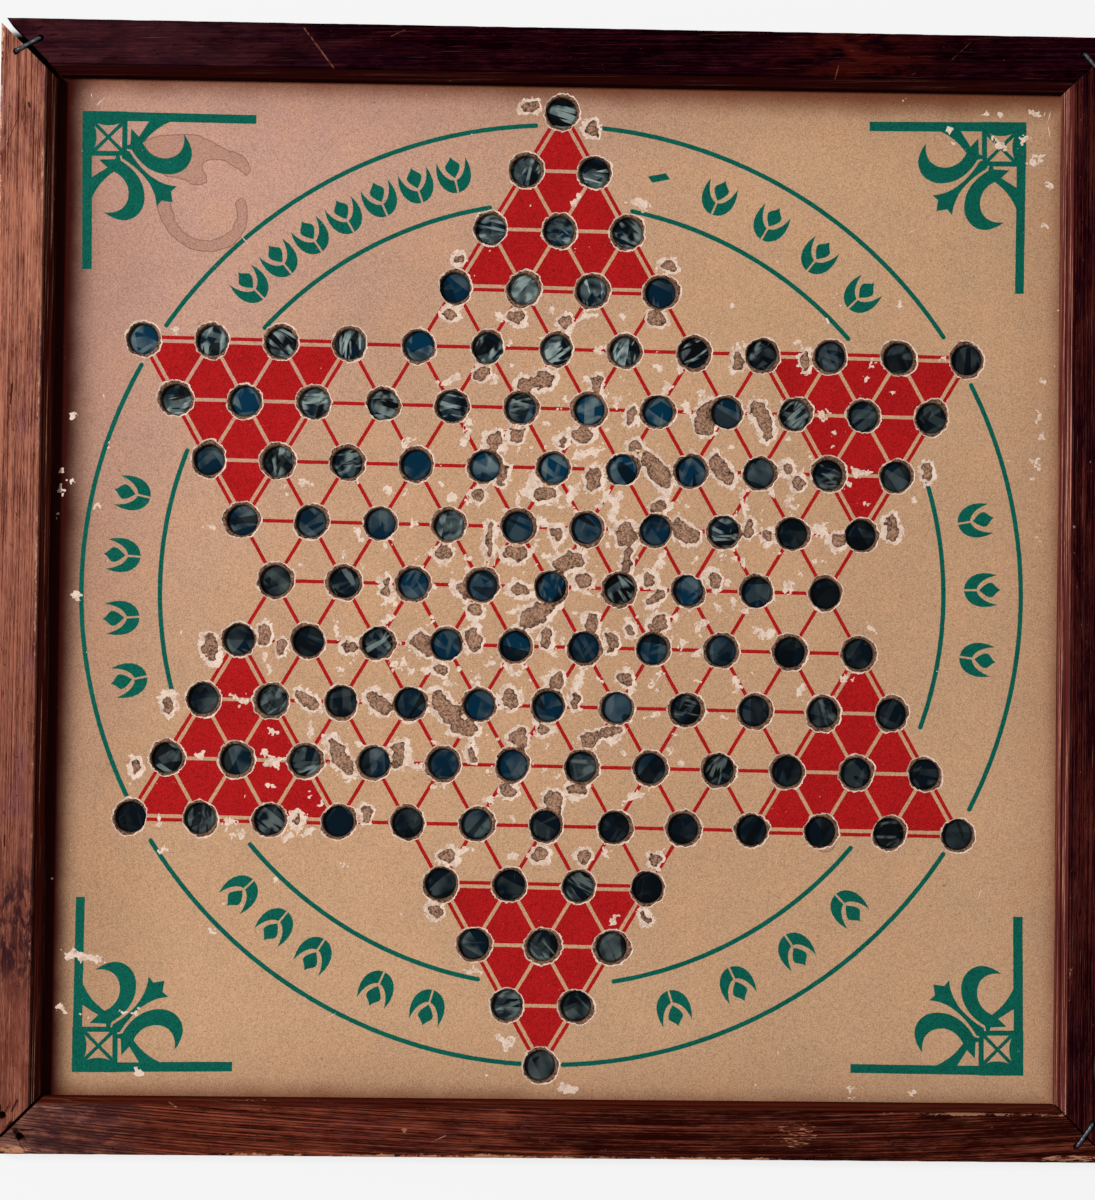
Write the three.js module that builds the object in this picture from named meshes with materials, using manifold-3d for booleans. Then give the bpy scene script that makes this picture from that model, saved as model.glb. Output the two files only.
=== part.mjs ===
// A framed marble board for the six-pointed star game, lying face up.
// Millimetres, +Z up, +X to the right and +Y to the top of the board.
// The origin is the middle of the frame's footprint, on the surface it lies on.
// The printed card, the glazed liner and the back board are stacked in a rebate
// behind four mitred rails. Wire staples tie the mitres on the face, and brads
// driven into the rebate hold the stack from behind.

import * as THREE from 'three';
import { mergeVertices } from 'three/addons/utils/BufferGeometryUtils.js';
import Module from 'manifold-3d';

const wasm = await Module();
wasm.setup();

const fitGap = 0.3;
const cutOverrun = 5;

// Star of holes: pitch between neighbours, hole size, how many rows of holes make one arm,
// and how the punched star sits in the frame
const holePitch = 28;
const holeDiameter = 12.7;
const holeHalfTurnSegments = 8;
const armRowCount = 4;
const starShiftX = -2.1;
const starShiftY = 1.5;
const starTurnDegrees = -0.6;

// Clear card between the outermost holes and the rails, beside the star and past its tips
const marginBeside = 30.1;
const marginPastTips = 5.46;

// Rail moulding, measured from the outer face inwards and from the top down
const railDepth = 19;
const faceWidth = 18.2;
const ledgeWidth = 3.1;
const ledgeDrop = 1.9;
const coveRadius = 1.1;
const beadRadius = 0.75;
const quirkWidth = 0.6;
const quirkDepth = 0.45;
const quirkBelowBead = 0.35;
const faceArrisRadius = 0.45;
const outerArrisRadius = 1.4;
const footChamfer = 0.6;
const sightDepth = 8.3;
const rebateWidth = 7;
const arcSegments = 5;

// Stack of sheets in the rebate
const cardThickness = 3;
const linerThickness = 0.8;
const backThickness = 3.2;
const sheetEdgeGap = 0.6;

// Corner staples of round wire
const wireDiameter = 1.3;
const stapleCrown = 12.6;
const stapleLeg = 7.5;
const stapleBendRadius = 1.4;
const stapleSteps = 34;
const wireSides = 8;

// Each corner: its side of the middle, the width of its open mitre at the sight edge and
// at the outside, how far its staple sits outwards from the middle of the mitre, the
// staple's skew from square to the mitre, and whether the staple is still there
const corners = {
  top_left: {
    sideX: -1, sideY: 1, sightGap: 2.2, outsideGap: 3, stapleOut: 1.2, skewDegrees: -16, stapled: true,
  },
  top_right: {
    sideX: 1, sideY: 1, sightGap: 0.4, outsideGap: 0.5, stapleOut: 3.2, skewDegrees: -5, stapled: true,
  },
  bottom_right: {
    sideX: 1, sideY: -1, sightGap: 0.6, outsideGap: 0.8, stapleOut: 1.8, skewDegrees: 11, stapled: true,
  },
  bottom_left: {
    sideX: -1, sideY: -1, sightGap: 1.2, outsideGap: 1.3, stapleOut: 1.6, skewDegrees: -4, stapled: false,
  },
};

// Brads in the rebate
const bradDiameter = 1.2;
const bradHeadDiameter = 2;
const bradHeadThickness = 0.5;
const bradLength = 19;
const bradPoint = 1.8;
const bradDriven = 9;
const bradSegments = 10;
const bradPlaceShares = [-0.36, 0, 0.36];

// Widths that follow from the sizes above
const rowSpacing = holePitch * Math.sin(Math.PI / 3);
const starWidth = 3 * armRowCount * holePitch + holeDiameter;
const starHeight = 4 * armRowCount * rowSpacing + holeDiameter;
const railWidth = faceWidth + ledgeWidth + 2 * beadRadius;
const rebateInset = railWidth - rebateWidth;
const openingWidth = starWidth + 2 * marginBeside;
const openingHeight = starHeight + 2 * marginPastTips;
const frameWidth = openingWidth + 2 * railWidth;
const frameHeight = openingHeight + 2 * railWidth;
const sheetWidth = openingWidth + 2 * (rebateWidth - sheetEdgeGap);
const sheetHeight = openingHeight + 2 * (rebateWidth - sheetEdgeGap);

// Heights that follow from the sizes above
const lipUnderside = railDepth - sightDepth;
const cardTop = lipUnderside - fitGap;
const linerTop = cardTop - cardThickness - fitGap;
const backTop = linerTop - linerThickness - fitGap;
const backUnderside = backTop - backThickness;
const bradHeight = backUnderside - fitGap - bradHeadDiameter / 2;

// Sides of the frame, each with its quarter turns from the top rail, and the corners at
// the -X and +X ends that it has before it is turned
const upright = { span: frameHeight, reach: frameWidth / 2, sheetSpan: sheetHeight };
const level = { span: frameWidth, reach: frameHeight / 2, sheetSpan: sheetWidth };
const sides = [
  { name: 'top', quarterTurns: 0, ...level, ends: ['top_left', 'top_right'] },
  { name: 'left', quarterTurns: 1, ...upright, ends: ['bottom_left', 'top_left'] },
  { name: 'bottom', quarterTurns: 2, ...level, ends: ['bottom_right', 'bottom_left'] },
  { name: 'right', quarterTurns: 3, ...upright, ends: ['top_right', 'bottom_right'] },
];

// Materials
const finishes = {
  rail_top: { color: 0x35181a, roughness: 0.45, metalness: 0 },
  rail_left: { color: 0x8a5848, roughness: 0.55, metalness: 0 },
  rail_bottom: { color: 0x55241e, roughness: 0.5, metalness: 0 },
  rail_right: { color: 0x35181c, roughness: 0.45, metalness: 0 },
  card: { color: 0xbe9678, roughness: 0.9, metalness: 0 },
  liner: { color: 0x0a2c48, roughness: 0.15, metalness: 0 },
  back: { color: 0x8b6a4a, roughness: 0.95, metalness: 0 },
  steel: { color: 0x3c444a, roughness: 0.4, metalness: 1 },
};

function materialOf(finish) {
  return new THREE.MeshStandardMaterial(finishes[finish]);
}

function namedMesh(name, geometry, finish) {
  const mesh = new THREE.Mesh(geometry, materialOf(finish));
  mesh.name = name;
  return mesh;
}

// Booleans on closed geometries
function solidOf(geometry) {
  const bare = geometry.clone();
  bare.deleteAttribute('normal');
  bare.deleteAttribute('uv');
  const welded = mergeVertices(bare);
  return new wasm.Manifold(new wasm.Mesh({
    numProp: 3,
    vertProperties: new Float32Array(welded.attributes.position.array),
    triVerts: new Uint32Array(welded.index.array),
  }));
}

function geometryOf(solid) {
  const { vertProperties, triVerts } = solid.getMesh();
  const geometry = new THREE.BufferGeometry();
  geometry.setAttribute('position', new THREE.BufferAttribute(vertProperties, 3));
  geometry.setIndex(new THREE.BufferAttribute(triVerts, 1));
  geometry.computeVertexNormals();
  return geometry;
}

function cutAway(geometry, cutters) {
  let solid = solidOf(geometry);
  for (const cutter of cutters) {
    solid = solid.subtract(solidOf(cutter));
  }
  return geometryOf(solid);
}

// Section of the rail: x runs inwards from the outer face, y runs up from the foot
function railSection() {
  const beadCentreX = railWidth - beadRadius;
  const ledgeHeight = railDepth - ledgeDrop;
  const quirkTop = ledgeHeight - quirkBelowBead;
  const quirkFoot = quirkTop - quirkWidth;
  const section = new THREE.Shape();
  section.moveTo(footChamfer, 0);
  section.lineTo(rebateInset, 0);
  section.lineTo(rebateInset, lipUnderside);
  section.lineTo(railWidth, lipUnderside);
  section.lineTo(railWidth, quirkFoot);
  section.lineTo(railWidth - quirkDepth, (quirkFoot + quirkTop) / 2);
  section.lineTo(railWidth, quirkTop);
  section.absarc(beadCentreX, ledgeHeight, beadRadius, 0, Math.PI, false);
  const coveCentreX = faceWidth + coveRadius;
  section.absarc(coveCentreX, ledgeHeight + coveRadius, coveRadius, 1.5 * Math.PI, Math.PI, true);
  const arrisHeight = railDepth - faceArrisRadius;
  section.absarc(faceWidth - faceArrisRadius, arrisHeight, faceArrisRadius, 0, Math.PI / 2, false);
  const roundHeight = railDepth - outerArrisRadius;
  section.absarc(outerArrisRadius, roundHeight, outerArrisRadius, Math.PI / 2, Math.PI, false);
  section.lineTo(0, footChamfer);
  section.closePath();
  return section;
}

// A length of moulding along the top side, its outer face at y = reach
function mouldingAlong(span, reach) {
  const settings = { depth: span, bevelEnabled: false, curveSegments: arcSegments };
  const moulding = new THREE.ExtrudeGeometry(railSection(), settings);
  const inwards = new THREE.Vector3(0, -1, 0);
  const upwards = new THREE.Vector3(0, 0, 1);
  const lengthways = new THREE.Vector3(-1, 0, 0);
  const place = new THREE.Matrix4().makeBasis(inwards, upwards, lengthways);
  place.setPosition(span / 2, reach, 0);
  return moulding.applyMatrix4(place);
}

// What a mitre saw takes off one end of the top rail, with half of the gap at that corner
function mitreCutter(span, reach, endSide, corner) {
  const towardsRail = new THREE.Vector2(-endSide, 1).normalize();
  const sightPoint = new THREE.Vector2(endSide * (span / 2 - railWidth), reach - railWidth)
    .addScaledVector(towardsRail, corner.sightGap / 2);
  const outsidePoint = new THREE.Vector2(endSide * span / 2, reach)
    .addScaledVector(towardsRail, corner.outsideGap / 2);
  const kerf = outsidePoint.clone().sub(sightPoint).normalize();
  const start = sightPoint.clone().addScaledVector(kerf, -cutOverrun);
  const end = outsidePoint.clone().addScaledVector(kerf, cutOverrun);
  const waste = new THREE.Vector2(kerf.y * endSide, -kerf.x * endSide);
  waste.multiplyScalar(railWidth + cutOverrun);
  const outline = [start, end, end.clone().add(waste), start.clone().add(waste)];
  const settings = { depth: railDepth + 2 * cutOverrun, bevelEnabled: false };
  const cutter = new THREE.ExtrudeGeometry(new THREE.Shape(outline), settings);
  return cutter.translate(0, 0, -cutOverrun);
}

// Where a corner's staple lies: its middle, its direction and the places of its two legs
function staplePlace(corner) {
  const middle = new THREE.Vector2(
    corner.sideX * (frameWidth - railWidth) / 2,
    corner.sideY * (frameHeight - railWidth) / 2,
  );
  const outwards = new THREE.Vector2(corner.sideX, corner.sideY).normalize();
  middle.addScaledVector(outwards, corner.stapleOut);
  const squareToMitre = -corner.sideX * corner.sideY * Math.PI / 4;
  const angle = squareToMitre + THREE.MathUtils.degToRad(corner.skewDegrees);
  const direction = new THREE.Vector2(Math.cos(angle), Math.sin(angle));
  const halfSpan = (stapleCrown - wireDiameter) / 2;
  const legs = [-halfSpan, halfSpan].map((offset) => middle.clone().addScaledVector(direction, offset));
  return { middle, angle, halfSpan, legs };
}

function stapleHoleCutters(corner) {
  const radius = wireDiameter / 2 + fitGap;
  const depth = stapleLeg + fitGap;
  return staplePlace(corner).legs.map((leg) => {
    const hole = new THREE.CylinderGeometry(radius, radius, depth + cutOverrun, wireSides);
    hole.rotateX(Math.PI / 2);
    return hole.translate(leg.x, leg.y, railDepth - depth + (depth + cutOverrun) / 2);
  });
}

// Hole in the rebate wall of the top rail for one brad
function bradHoleCutter(place, reach) {
  const radius = bradDiameter / 2 + fitGap;
  const length = bradDriven + fitGap + rebateWidth;
  const wall = reach - rebateInset;
  const hole = new THREE.CylinderGeometry(radius, radius, length, bradSegments);
  return hole.translate(place, wall + bradDriven + fitGap - length / 2, bradHeight);
}

function quarterTurned(geometry, quarterTurns) {
  return geometry.rotateZ(quarterTurns * Math.PI / 2);
}

function makeRail(side) {
  const { span, reach, sheetSpan, quarterTurns } = side;
  const [startCorner, endCorner] = side.ends.map((name) => corners[name]);
  const cutters = [mitreCutter(span, reach, -1, startCorner), mitreCutter(span, reach, 1, endCorner)];
  for (const share of bradPlaceShares) {
    cutters.push(bradHoleCutter(share * sheetSpan, reach));
  }
  const mitred = cutAway(mouldingAlong(span, reach), cutters);
  const turned = quarterTurned(mitred, quarterTurns);
  const legHoles = [...stapleHoleCutters(startCorner), ...stapleHoleCutters(endCorner)];
  const finished = cutAway(turned, legHoles);
  return namedMesh(`rail_${side.name}`, finished, `rail_${side.name}`);
}

// The line that a staple's wire follows, upright on its crown and in the XZ plane
function staplePath(halfSpan) {
  const crownHeight = fitGap + wireDiameter / 2;
  const bendHeight = crownHeight - stapleBendRadius;
  const bendSide = halfSpan - stapleBendRadius;
  const at = (x, z) => new THREE.Vector3(x, 0, z);
  const path = new THREE.CurvePath();
  path.add(new THREE.LineCurve3(at(-halfSpan, -stapleLeg), at(-halfSpan, bendHeight)));
  path.add(new THREE.QuadraticBezierCurve3(
    at(-halfSpan, bendHeight),
    at(-halfSpan, crownHeight),
    at(-bendSide, crownHeight),
  ));
  path.add(new THREE.LineCurve3(at(-bendSide, crownHeight), at(bendSide, crownHeight)));
  path.add(new THREE.QuadraticBezierCurve3(
    at(bendSide, crownHeight),
    at(halfSpan, crownHeight),
    at(halfSpan, bendHeight),
  ));
  path.add(new THREE.LineCurve3(at(halfSpan, bendHeight), at(halfSpan, -stapleLeg)));
  return path;
}

function makeStaple(name, corner) {
  const { middle, angle, halfSpan } = staplePlace(corner);
  const wire = new THREE.Shape();
  wire.absarc(0, 0, wireDiameter / 2, 0, 2 * Math.PI, false);
  const geometry = new THREE.ExtrudeGeometry(wire, {
    steps: stapleSteps,
    curveSegments: wireSides / 2,
    extrudePath: staplePath(halfSpan),
  });
  geometry.rotateZ(angle);
  geometry.translate(middle.x, middle.y, railDepth);
  return namedMesh(`staple_${name}`, geometry, 'steel');
}

// Holes of the star, row by row: the widest two rows join the tips of the side arms
function starHoles() {
  const holes = [];
  const outerRow = 2 * armRowCount;
  for (let row = -outerRow; row <= outerRow; row += 1) {
    const distance = Math.abs(row);
    const count = distance <= armRowCount ? outerRow + distance + 1 : outerRow - distance + 1;
    for (let index = 0; index < count; index += 1) {
      holes.push(new THREE.Vector2((index - (count - 1) / 2) * holePitch, row * rowSpacing));
    }
  }
  const turn = THREE.MathUtils.degToRad(starTurnDegrees);
  const middle = new THREE.Vector2(0, 0);
  const shift = new THREE.Vector2(starShiftX, starShiftY);
  return holes.map((hole) => hole.rotateAround(middle, turn).add(shift));
}

function rectangle(width, height) {
  const outline = new THREE.Shape();
  outline.moveTo(-width / 2, -height / 2);
  outline.lineTo(width / 2, -height / 2);
  outline.lineTo(width / 2, height / 2);
  outline.lineTo(-width / 2, height / 2);
  outline.closePath();
  return outline;
}

function makeSheet(name, finish, top, thickness, holes = []) {
  const outline = rectangle(sheetWidth, sheetHeight);
  for (const hole of holes) {
    const punched = new THREE.Path();
    punched.absarc(hole.x, hole.y, holeDiameter / 2, 0, 2 * Math.PI, true);
    outline.holes.push(punched);
  }
  const settings = { depth: thickness, bevelEnabled: false, curveSegments: holeHalfTurnSegments };
  const sheet = new THREE.ExtrudeGeometry(outline, settings);
  return namedMesh(name, sheet.translate(0, 0, top - thickness), finish);
}

// A brad turned about its own axis, point towards +Y, head on the board's side
function bradGeometry() {
  const headRadius = bradHeadDiameter / 2;
  const shankRadius = bradDiameter / 2;
  const profile = [
    new THREE.Vector2(0, 0),
    new THREE.Vector2(headRadius, 0),
    new THREE.Vector2(headRadius, bradHeadThickness),
    new THREE.Vector2(shankRadius, bradHeadThickness),
    new THREE.Vector2(shankRadius, bradLength - bradPoint),
    new THREE.Vector2(0, bradLength),
  ];
  return new THREE.LatheGeometry(profile, bradSegments);
}

function makeBrads(side) {
  const wall = side.reach - rebateInset;
  return bradPlaceShares.map((share, index) => {
    const geometry = bradGeometry();
    geometry.translate(share * side.sheetSpan, wall + bradDriven - bradLength, bradHeight);
    return namedMesh(`brad_${side.name}_${index + 1}`, quarterTurned(geometry, side.quarterTurns), 'steel');
  });
}

const board = new THREE.Group();
for (const side of sides) {
  board.add(makeRail(side));
}
for (const [name, corner] of Object.entries(corners)) {
  if (corner.stapled) {
    board.add(makeStaple(name, corner));
  }
}
board.add(makeSheet('face_card', 'card', cardTop, cardThickness, starHoles()));
board.add(makeSheet('glazed_liner', 'liner', linerTop, linerThickness));
board.add(makeSheet('back_board', 'back', backTop, backThickness));
for (const side of sides) {
  board.add(...makeBrads(side));
}

export default board;
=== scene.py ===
"""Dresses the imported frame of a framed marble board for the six-pointed star game.

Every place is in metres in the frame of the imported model: +Z up out of the playing
face, +X to the right of the board and +Y to its top.
"""
import contextlib
import functools
import math

import bmesh
import bpy
import numpy as np
from mathutils import Matrix, Vector, geometry


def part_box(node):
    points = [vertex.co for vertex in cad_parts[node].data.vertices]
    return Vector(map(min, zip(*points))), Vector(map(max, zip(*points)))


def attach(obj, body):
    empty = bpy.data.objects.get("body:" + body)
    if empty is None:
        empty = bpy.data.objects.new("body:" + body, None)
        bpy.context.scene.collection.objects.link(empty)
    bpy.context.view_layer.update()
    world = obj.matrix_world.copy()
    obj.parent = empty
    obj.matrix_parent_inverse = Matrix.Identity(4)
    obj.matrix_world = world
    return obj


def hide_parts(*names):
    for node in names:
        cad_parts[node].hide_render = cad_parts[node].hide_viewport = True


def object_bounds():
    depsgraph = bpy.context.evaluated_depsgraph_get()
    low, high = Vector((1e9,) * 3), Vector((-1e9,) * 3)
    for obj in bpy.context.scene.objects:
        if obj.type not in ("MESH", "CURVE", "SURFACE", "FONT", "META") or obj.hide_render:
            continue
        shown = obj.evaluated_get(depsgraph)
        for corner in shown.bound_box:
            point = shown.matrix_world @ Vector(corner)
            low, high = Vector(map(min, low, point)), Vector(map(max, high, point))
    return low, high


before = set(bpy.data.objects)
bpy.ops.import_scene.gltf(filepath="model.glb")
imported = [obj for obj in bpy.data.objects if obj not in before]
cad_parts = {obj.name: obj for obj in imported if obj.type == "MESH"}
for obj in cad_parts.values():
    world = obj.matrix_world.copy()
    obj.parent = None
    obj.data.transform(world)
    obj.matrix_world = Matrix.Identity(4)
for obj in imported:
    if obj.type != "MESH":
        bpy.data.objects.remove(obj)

bl_info = {
    "name": "Star Marble Board",
    "version": (1, 0, 0),
    "blender": (4, 5, 0),
    "location": "View3D > Sidebar > Board",
    "description": "Dresses a framed star marble board with a worn printed card",
    "category": "Object",
}

MM = 0.001
BODY = "root"
CAD_BOX = [list(corner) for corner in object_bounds()]
CARD_LOW, CARD_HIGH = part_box("face_card")
REACH_X = -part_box("rail_left")[0].x
REACH_Y = -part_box("rail_bottom")[0].y
SIGHT_X = -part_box("rail_left")[1].x
SIGHT_Y = -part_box("rail_bottom")[1].y
RAIL_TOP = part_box("rail_top")[1].z
RAIL_WIDTH = REACH_X - SIGHT_X


# Sizes and colours

def length(name, description, millimetres):
    """A length that a user may change, shown in the scene's units."""
    return bpy.props.FloatProperty(
        name=name, description=description, default=millimetres * MM, unit="LENGTH", precision=5,
    )


def turn(name, description, degrees):
    """An angle that a user may change."""
    return bpy.props.FloatProperty(
        name=name, description=description, default=math.radians(degrees), unit="ROTATION",
    )


def screen(red, green, blue):
    """The light of a colour given as it looks on a screen, from 0 to 255."""
    return tuple(((part / 255 + 0.055) / 1.055) ** 2.4 if part > 10 else part / 3295
                 for part in (red, green, blue))


def colour(name, description, red, green, blue):
    """A colour that a user may change, given as it looks on a screen."""
    return bpy.props.FloatVectorProperty(
        name=name, description=description, default=screen(red, green, blue), size=3, min=0, max=1,
        subtype="COLOR",
    )


class BoardStar(bpy.types.PropertyGroup):
    """The star of holes."""

    pitch: length("Hole pitch", "Distance between neighbouring holes", 28)
    hole: length("Hole diameter", "Clear width of a hole at its foot", 12.4)
    rim: length("Torn rim", "Radius to which the paper is torn round a hole", 7.2)
    arm_rows: bpy.props.IntProperty(
        name="Arm rows", description="Rows of holes in one arm of the star", default=4,
    )
    shift_x: length("Shift right", "How far the star is punched off centre", -2.1)
    shift_y: length("Shift up", "How far the star is punched off centre", 1.5)
    turned: turn("Turn", "How far the star is punched out of square", -0.6)


class BoardPrint(bpy.types.PropertyGroup):
    """The print on the card."""

    line: length("Line width", "Width of the red lines and of the tan lines in the arms", 1.45)
    shift_x: length("Shift right", "How far the green print lies off the star's middle", 0.8)
    shift_y: length("Shift up", "How far the green print lies off the star's middle", -2.5)
    turned: turn("Turn", "How far the green print is turned from the star", 0.9)
    outer_ring: length("Outer ring radius", "Middle of the outer green ring", 191)
    inner_ring: length("Inner ring radius", "Middle of the inner green ring", 159.3)
    ring_line: length("Ring width", "Width of the two green rings", 1.85)
    bracket_span: length("Bracket span", "Outer width of the four brackets' rectangle", 385.4)
    bracket_height: length("Bracket height", "Outer height of the four brackets' rectangle", 389.3)
    long_arm: length("Long arm", "Length of the longer arm of a corner bracket", 70.5)
    short_arm: length("Short arm", "Length of the shorter arm of a corner bracket", 64.5)
    arm_line: length("Arm width", "Width of a corner bracket's arms", 4)
    paper: length("Paper thickness", "Thickness of the printed paper on the card", 0.25)
    ink: length("Ink thickness", "Height of the ink above the paper", 0.02)


class BoardRails(bpy.types.PropertyGroup):
    """The rail moulding."""

    face: length("Face width", "Width of the flat face", 18.2)
    ledge_drop: length("Ledge drop", "How far the ledge lies below the face", 1.9)
    cove: length("Cove radius", "Radius of the cove at the foot of the face's inner edge", 1.1)
    bead: length("Bead radius", "Radius of the bead at the sight edge", 0.75)
    quirk: length("Quirk width", "Width of the groove under the bead", 0.6)
    quirk_depth: length("Quirk depth", "Depth of the groove under the bead", 0.45)
    quirk_drop: length("Quirk drop", "How far the groove starts below the ledge", 0.35)
    face_round: length("Face rounding", "Radius of the face's inner edge", 0.45)
    outer_round: length("Outer rounding", "Radius of the outer top edge", 1.4)
    foot_round: length("Foot rounding", "Radius of the outer bottom edge", 0.6)
    sight_depth: length("Sight depth", "Height of the wall at the sight edge", 8.3)
    rebate: length("Rebate width", "How far the rebate reaches under the moulding", 7)


class BoardMetal(bpy.types.PropertyGroup):
    """The staples and the brads."""

    wire: length("Wire diameter", "Diameter of a staple's wire", 1.55)
    crown: length("Staple crown", "Overall width of a staple", 12.6)
    leg: length("Staple leg", "How deep a staple's legs reach", 7.5)
    bend: length("Staple bend", "Radius of a staple's two bends", 1.4)
    brad: length("Brad diameter", "Diameter of a brad's shank", 1.2)
    brad_head: length("Brad head", "Diameter of a brad's head", 2)
    brad_head_thickness: length("Brad head thickness", "Thickness of a brad's head", 0.5)
    brad_length: length("Brad length", "Overall length of a brad", 19)
    brad_point: length("Brad point", "Length of a brad's point", 1.8)


class BoardColours(bpy.types.PropertyGroup):
    """The colours of the board."""

    # Beside the rails this colour is partly painted shade; in the spots it is stain
    card_dark: colour("Card grime", "Printed paper beside the rails and in stains", 112, 58, 36)
    torn: colour("Torn paper", "Pale fibres at torn edges", 236, 212, 194)
    core: colour("Card core", "Brown board under the paper", 150, 114, 92)
    red: colour("Red", "Red ink", 182, 26, 28)
    green: colour("Green", "Green ink", 8, 98, 82)
    # The two blues are partly the foil's colour and partly painted light and shade on its folds; the grey is
    # a painted reflection
    liner_blue: colour("Liner blue", "Lighter blue of the glazed liner", 2, 47, 70)
    liner_dark: colour("Liner dark", "Darker blue of the glazed liner", 4, 15, 24)
    liner_streak: colour("Liner streak", "Grey streaks of the glazed liner", 142, 158, 154)
    back: colour("Back board", "Plain board at the back", 139, 106, 74)
    steel: colour("Steel", "Darkened wire", 84, 94, 101)


# Node trees

def through_maths(operation, reflected=False):
    """A method of Value that adds one Math node."""
    def method(self, other):
        pair = (other, self) if reflected else (self, other)
        return self.tree.maths(operation, *pair)
    return method


class Value:
    """A socket of a node tree that Python's operators work on."""

    def __init__(self, tree, socket):
        self.tree = tree
        self.socket = socket

    __add__ = __radd__ = through_maths("ADD")
    __mul__ = __rmul__ = through_maths("MULTIPLY")
    __sub__ = through_maths("SUBTRACT")
    __rsub__ = through_maths("SUBTRACT", reflected=True)
    __truediv__ = through_maths("DIVIDE")
    __rtruediv__ = through_maths("DIVIDE", reflected=True)
    __pow__ = through_maths("POWER")

    def __abs__(self):
        return self.maths("ABSOLUTE")

    def maths(self, operation, *others):
        """This value and the others through one Math node."""
        return self.tree.maths(operation, self, *others)

    def clamp(self):
        """This value kept between 0 and 1."""
        return self.tree.maths("ADD", self, 0, clamp=True)

    def step(self, start, end):
        """0 up to start and 1 from end, smoothly between; the other way where end is lower."""
        low, high, low_to, high_to = (start, end, 0, 1) if start < end else (end, start, 1, 0)
        return self.tree.value(
            "ShaderNodeMapRange", {"interpolation_type": "SMOOTHSTEP"},
            {"Value": self, "From Min": low, "From Max": high, "To Min": low_to, "To Max": high_to})


class Tree:
    """Adds nodes to a shader or geometry tree."""

    def __init__(self, tree):
        self.tree = tree
        self.count = 0

    def feed(self, slot, value):
        """Sets one input socket to a number or a colour, or links a value to it."""
        if isinstance(value, Value):
            self.tree.links.new(value.socket, slot)
        else:
            slot.default_value = value

    def node(self, kind, settings=None, inputs=None):
        """A node of one kind, with its settings first and then its inputs by name or place."""
        node = self.tree.nodes.new(kind)
        node.location = (220 * (self.count % 12), -260 * (self.count // 12))
        self.count += 1
        for name, value in (settings or {}).items():
            setattr(node, name, value)
        for name, value in (inputs or {}).items():
            self.feed(node.inputs[name], value)
        return node

    def value(self, kind, settings=None, inputs=None, output=0):
        """One output of a new node, as a value."""
        return Value(self, self.node(kind, settings, inputs).outputs[output])

    def maths(self, operation, *values, clamp=False):
        """Some values through one Math node."""
        settings = {"operation": operation, "use_clamp": clamp}
        return self.value("ShaderNodeMath", settings, dict(enumerate(values)))

    def vector_maths(self, operation, first, second):
        """Two vectors, or a vector and a scale, through one Vector Math node."""
        slot = "Scale" if operation == "SCALE" else 1
        return self.value("ShaderNodeVectorMath", {"operation": operation}, {0: first, slot: second})

    def vector(self, x=0, y=0, z=0):
        """Three values as one vector."""
        return self.value("ShaderNodeCombineXYZ", None, {0: x, 1: y, 2: z})

    def axes(self, vector):
        """The three parts of a vector."""
        return [Value(self, part) for part in self.node("ShaderNodeSeparateXYZ", None, {0: vector}).outputs]


class Shader(Tree):
    """A procedural material on one Principled shader."""

    def __init__(self, name):
        self.material = bpy.data.materials.new(name)
        self.material.use_nodes = True
        super().__init__(self.material.node_tree)
        self.tree.nodes.clear()
        self.surface = self.node("ShaderNodeBsdfPrincipled")
        self.output = self.node("ShaderNodeOutputMaterial").inputs["Surface"]
        self.tree.links.new(self.surface.outputs[0], self.output)
        self.places = self.value("ShaderNodeTexCoord", output="Object")
        self.x, self.y, self.z = self.axes(self.places)

    def fixed(self, **values):
        """Sets sockets of the shader that are the same all over the surface."""
        for name, value in values.items():
            self.surface.inputs[name.replace("_", " ").title().replace("Ior", "IOR")].default_value = value

    def noise(self, scale, detail=2, roughness=0.5, distortion=0, places=None, seed=0):
        """Noise from 0 to 1, about 0.5 on average, with features about 1/scale metres wide."""
        return self.value("ShaderNodeTexNoise", {"noise_dimensions": "4D"}, {
            "Vector": places or self.places, "W": seed, "Scale": scale,
            "Detail": detail, "Roughness": roughness, "Distortion": distortion,
        })

    def mix(self, factor, first, second):
        """Two colours mixed by a value."""
        first, second = (shade if isinstance(shade, Value) else (*shade, 1) for shade in (first, second))
        return self.value("ShaderNodeMix", {"data_type": "RGBA"}, {0: factor, 6: first, 7: second}, output=2)

    def shaded(self, shade, factor):
        """A colour made darker or lighter by a value, the same for all three parts."""
        return self.vector_maths("SCALE", shade, factor)

    def finish(self, base, roughness, height=None, depth=0.1 * MM, strength=1):
        """Links what changes over the surface and returns the material."""
        self.feed(self.surface.inputs["Base Color"], base)
        self.feed(self.surface.inputs["Roughness"], roughness)
        if height is not None:
            bump = self.value("ShaderNodeBump", None, {
                "Height": height, "Distance": depth, "Strength": strength})
            self.feed(self.surface.inputs["Normal"], bump)
        return self.material


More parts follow.
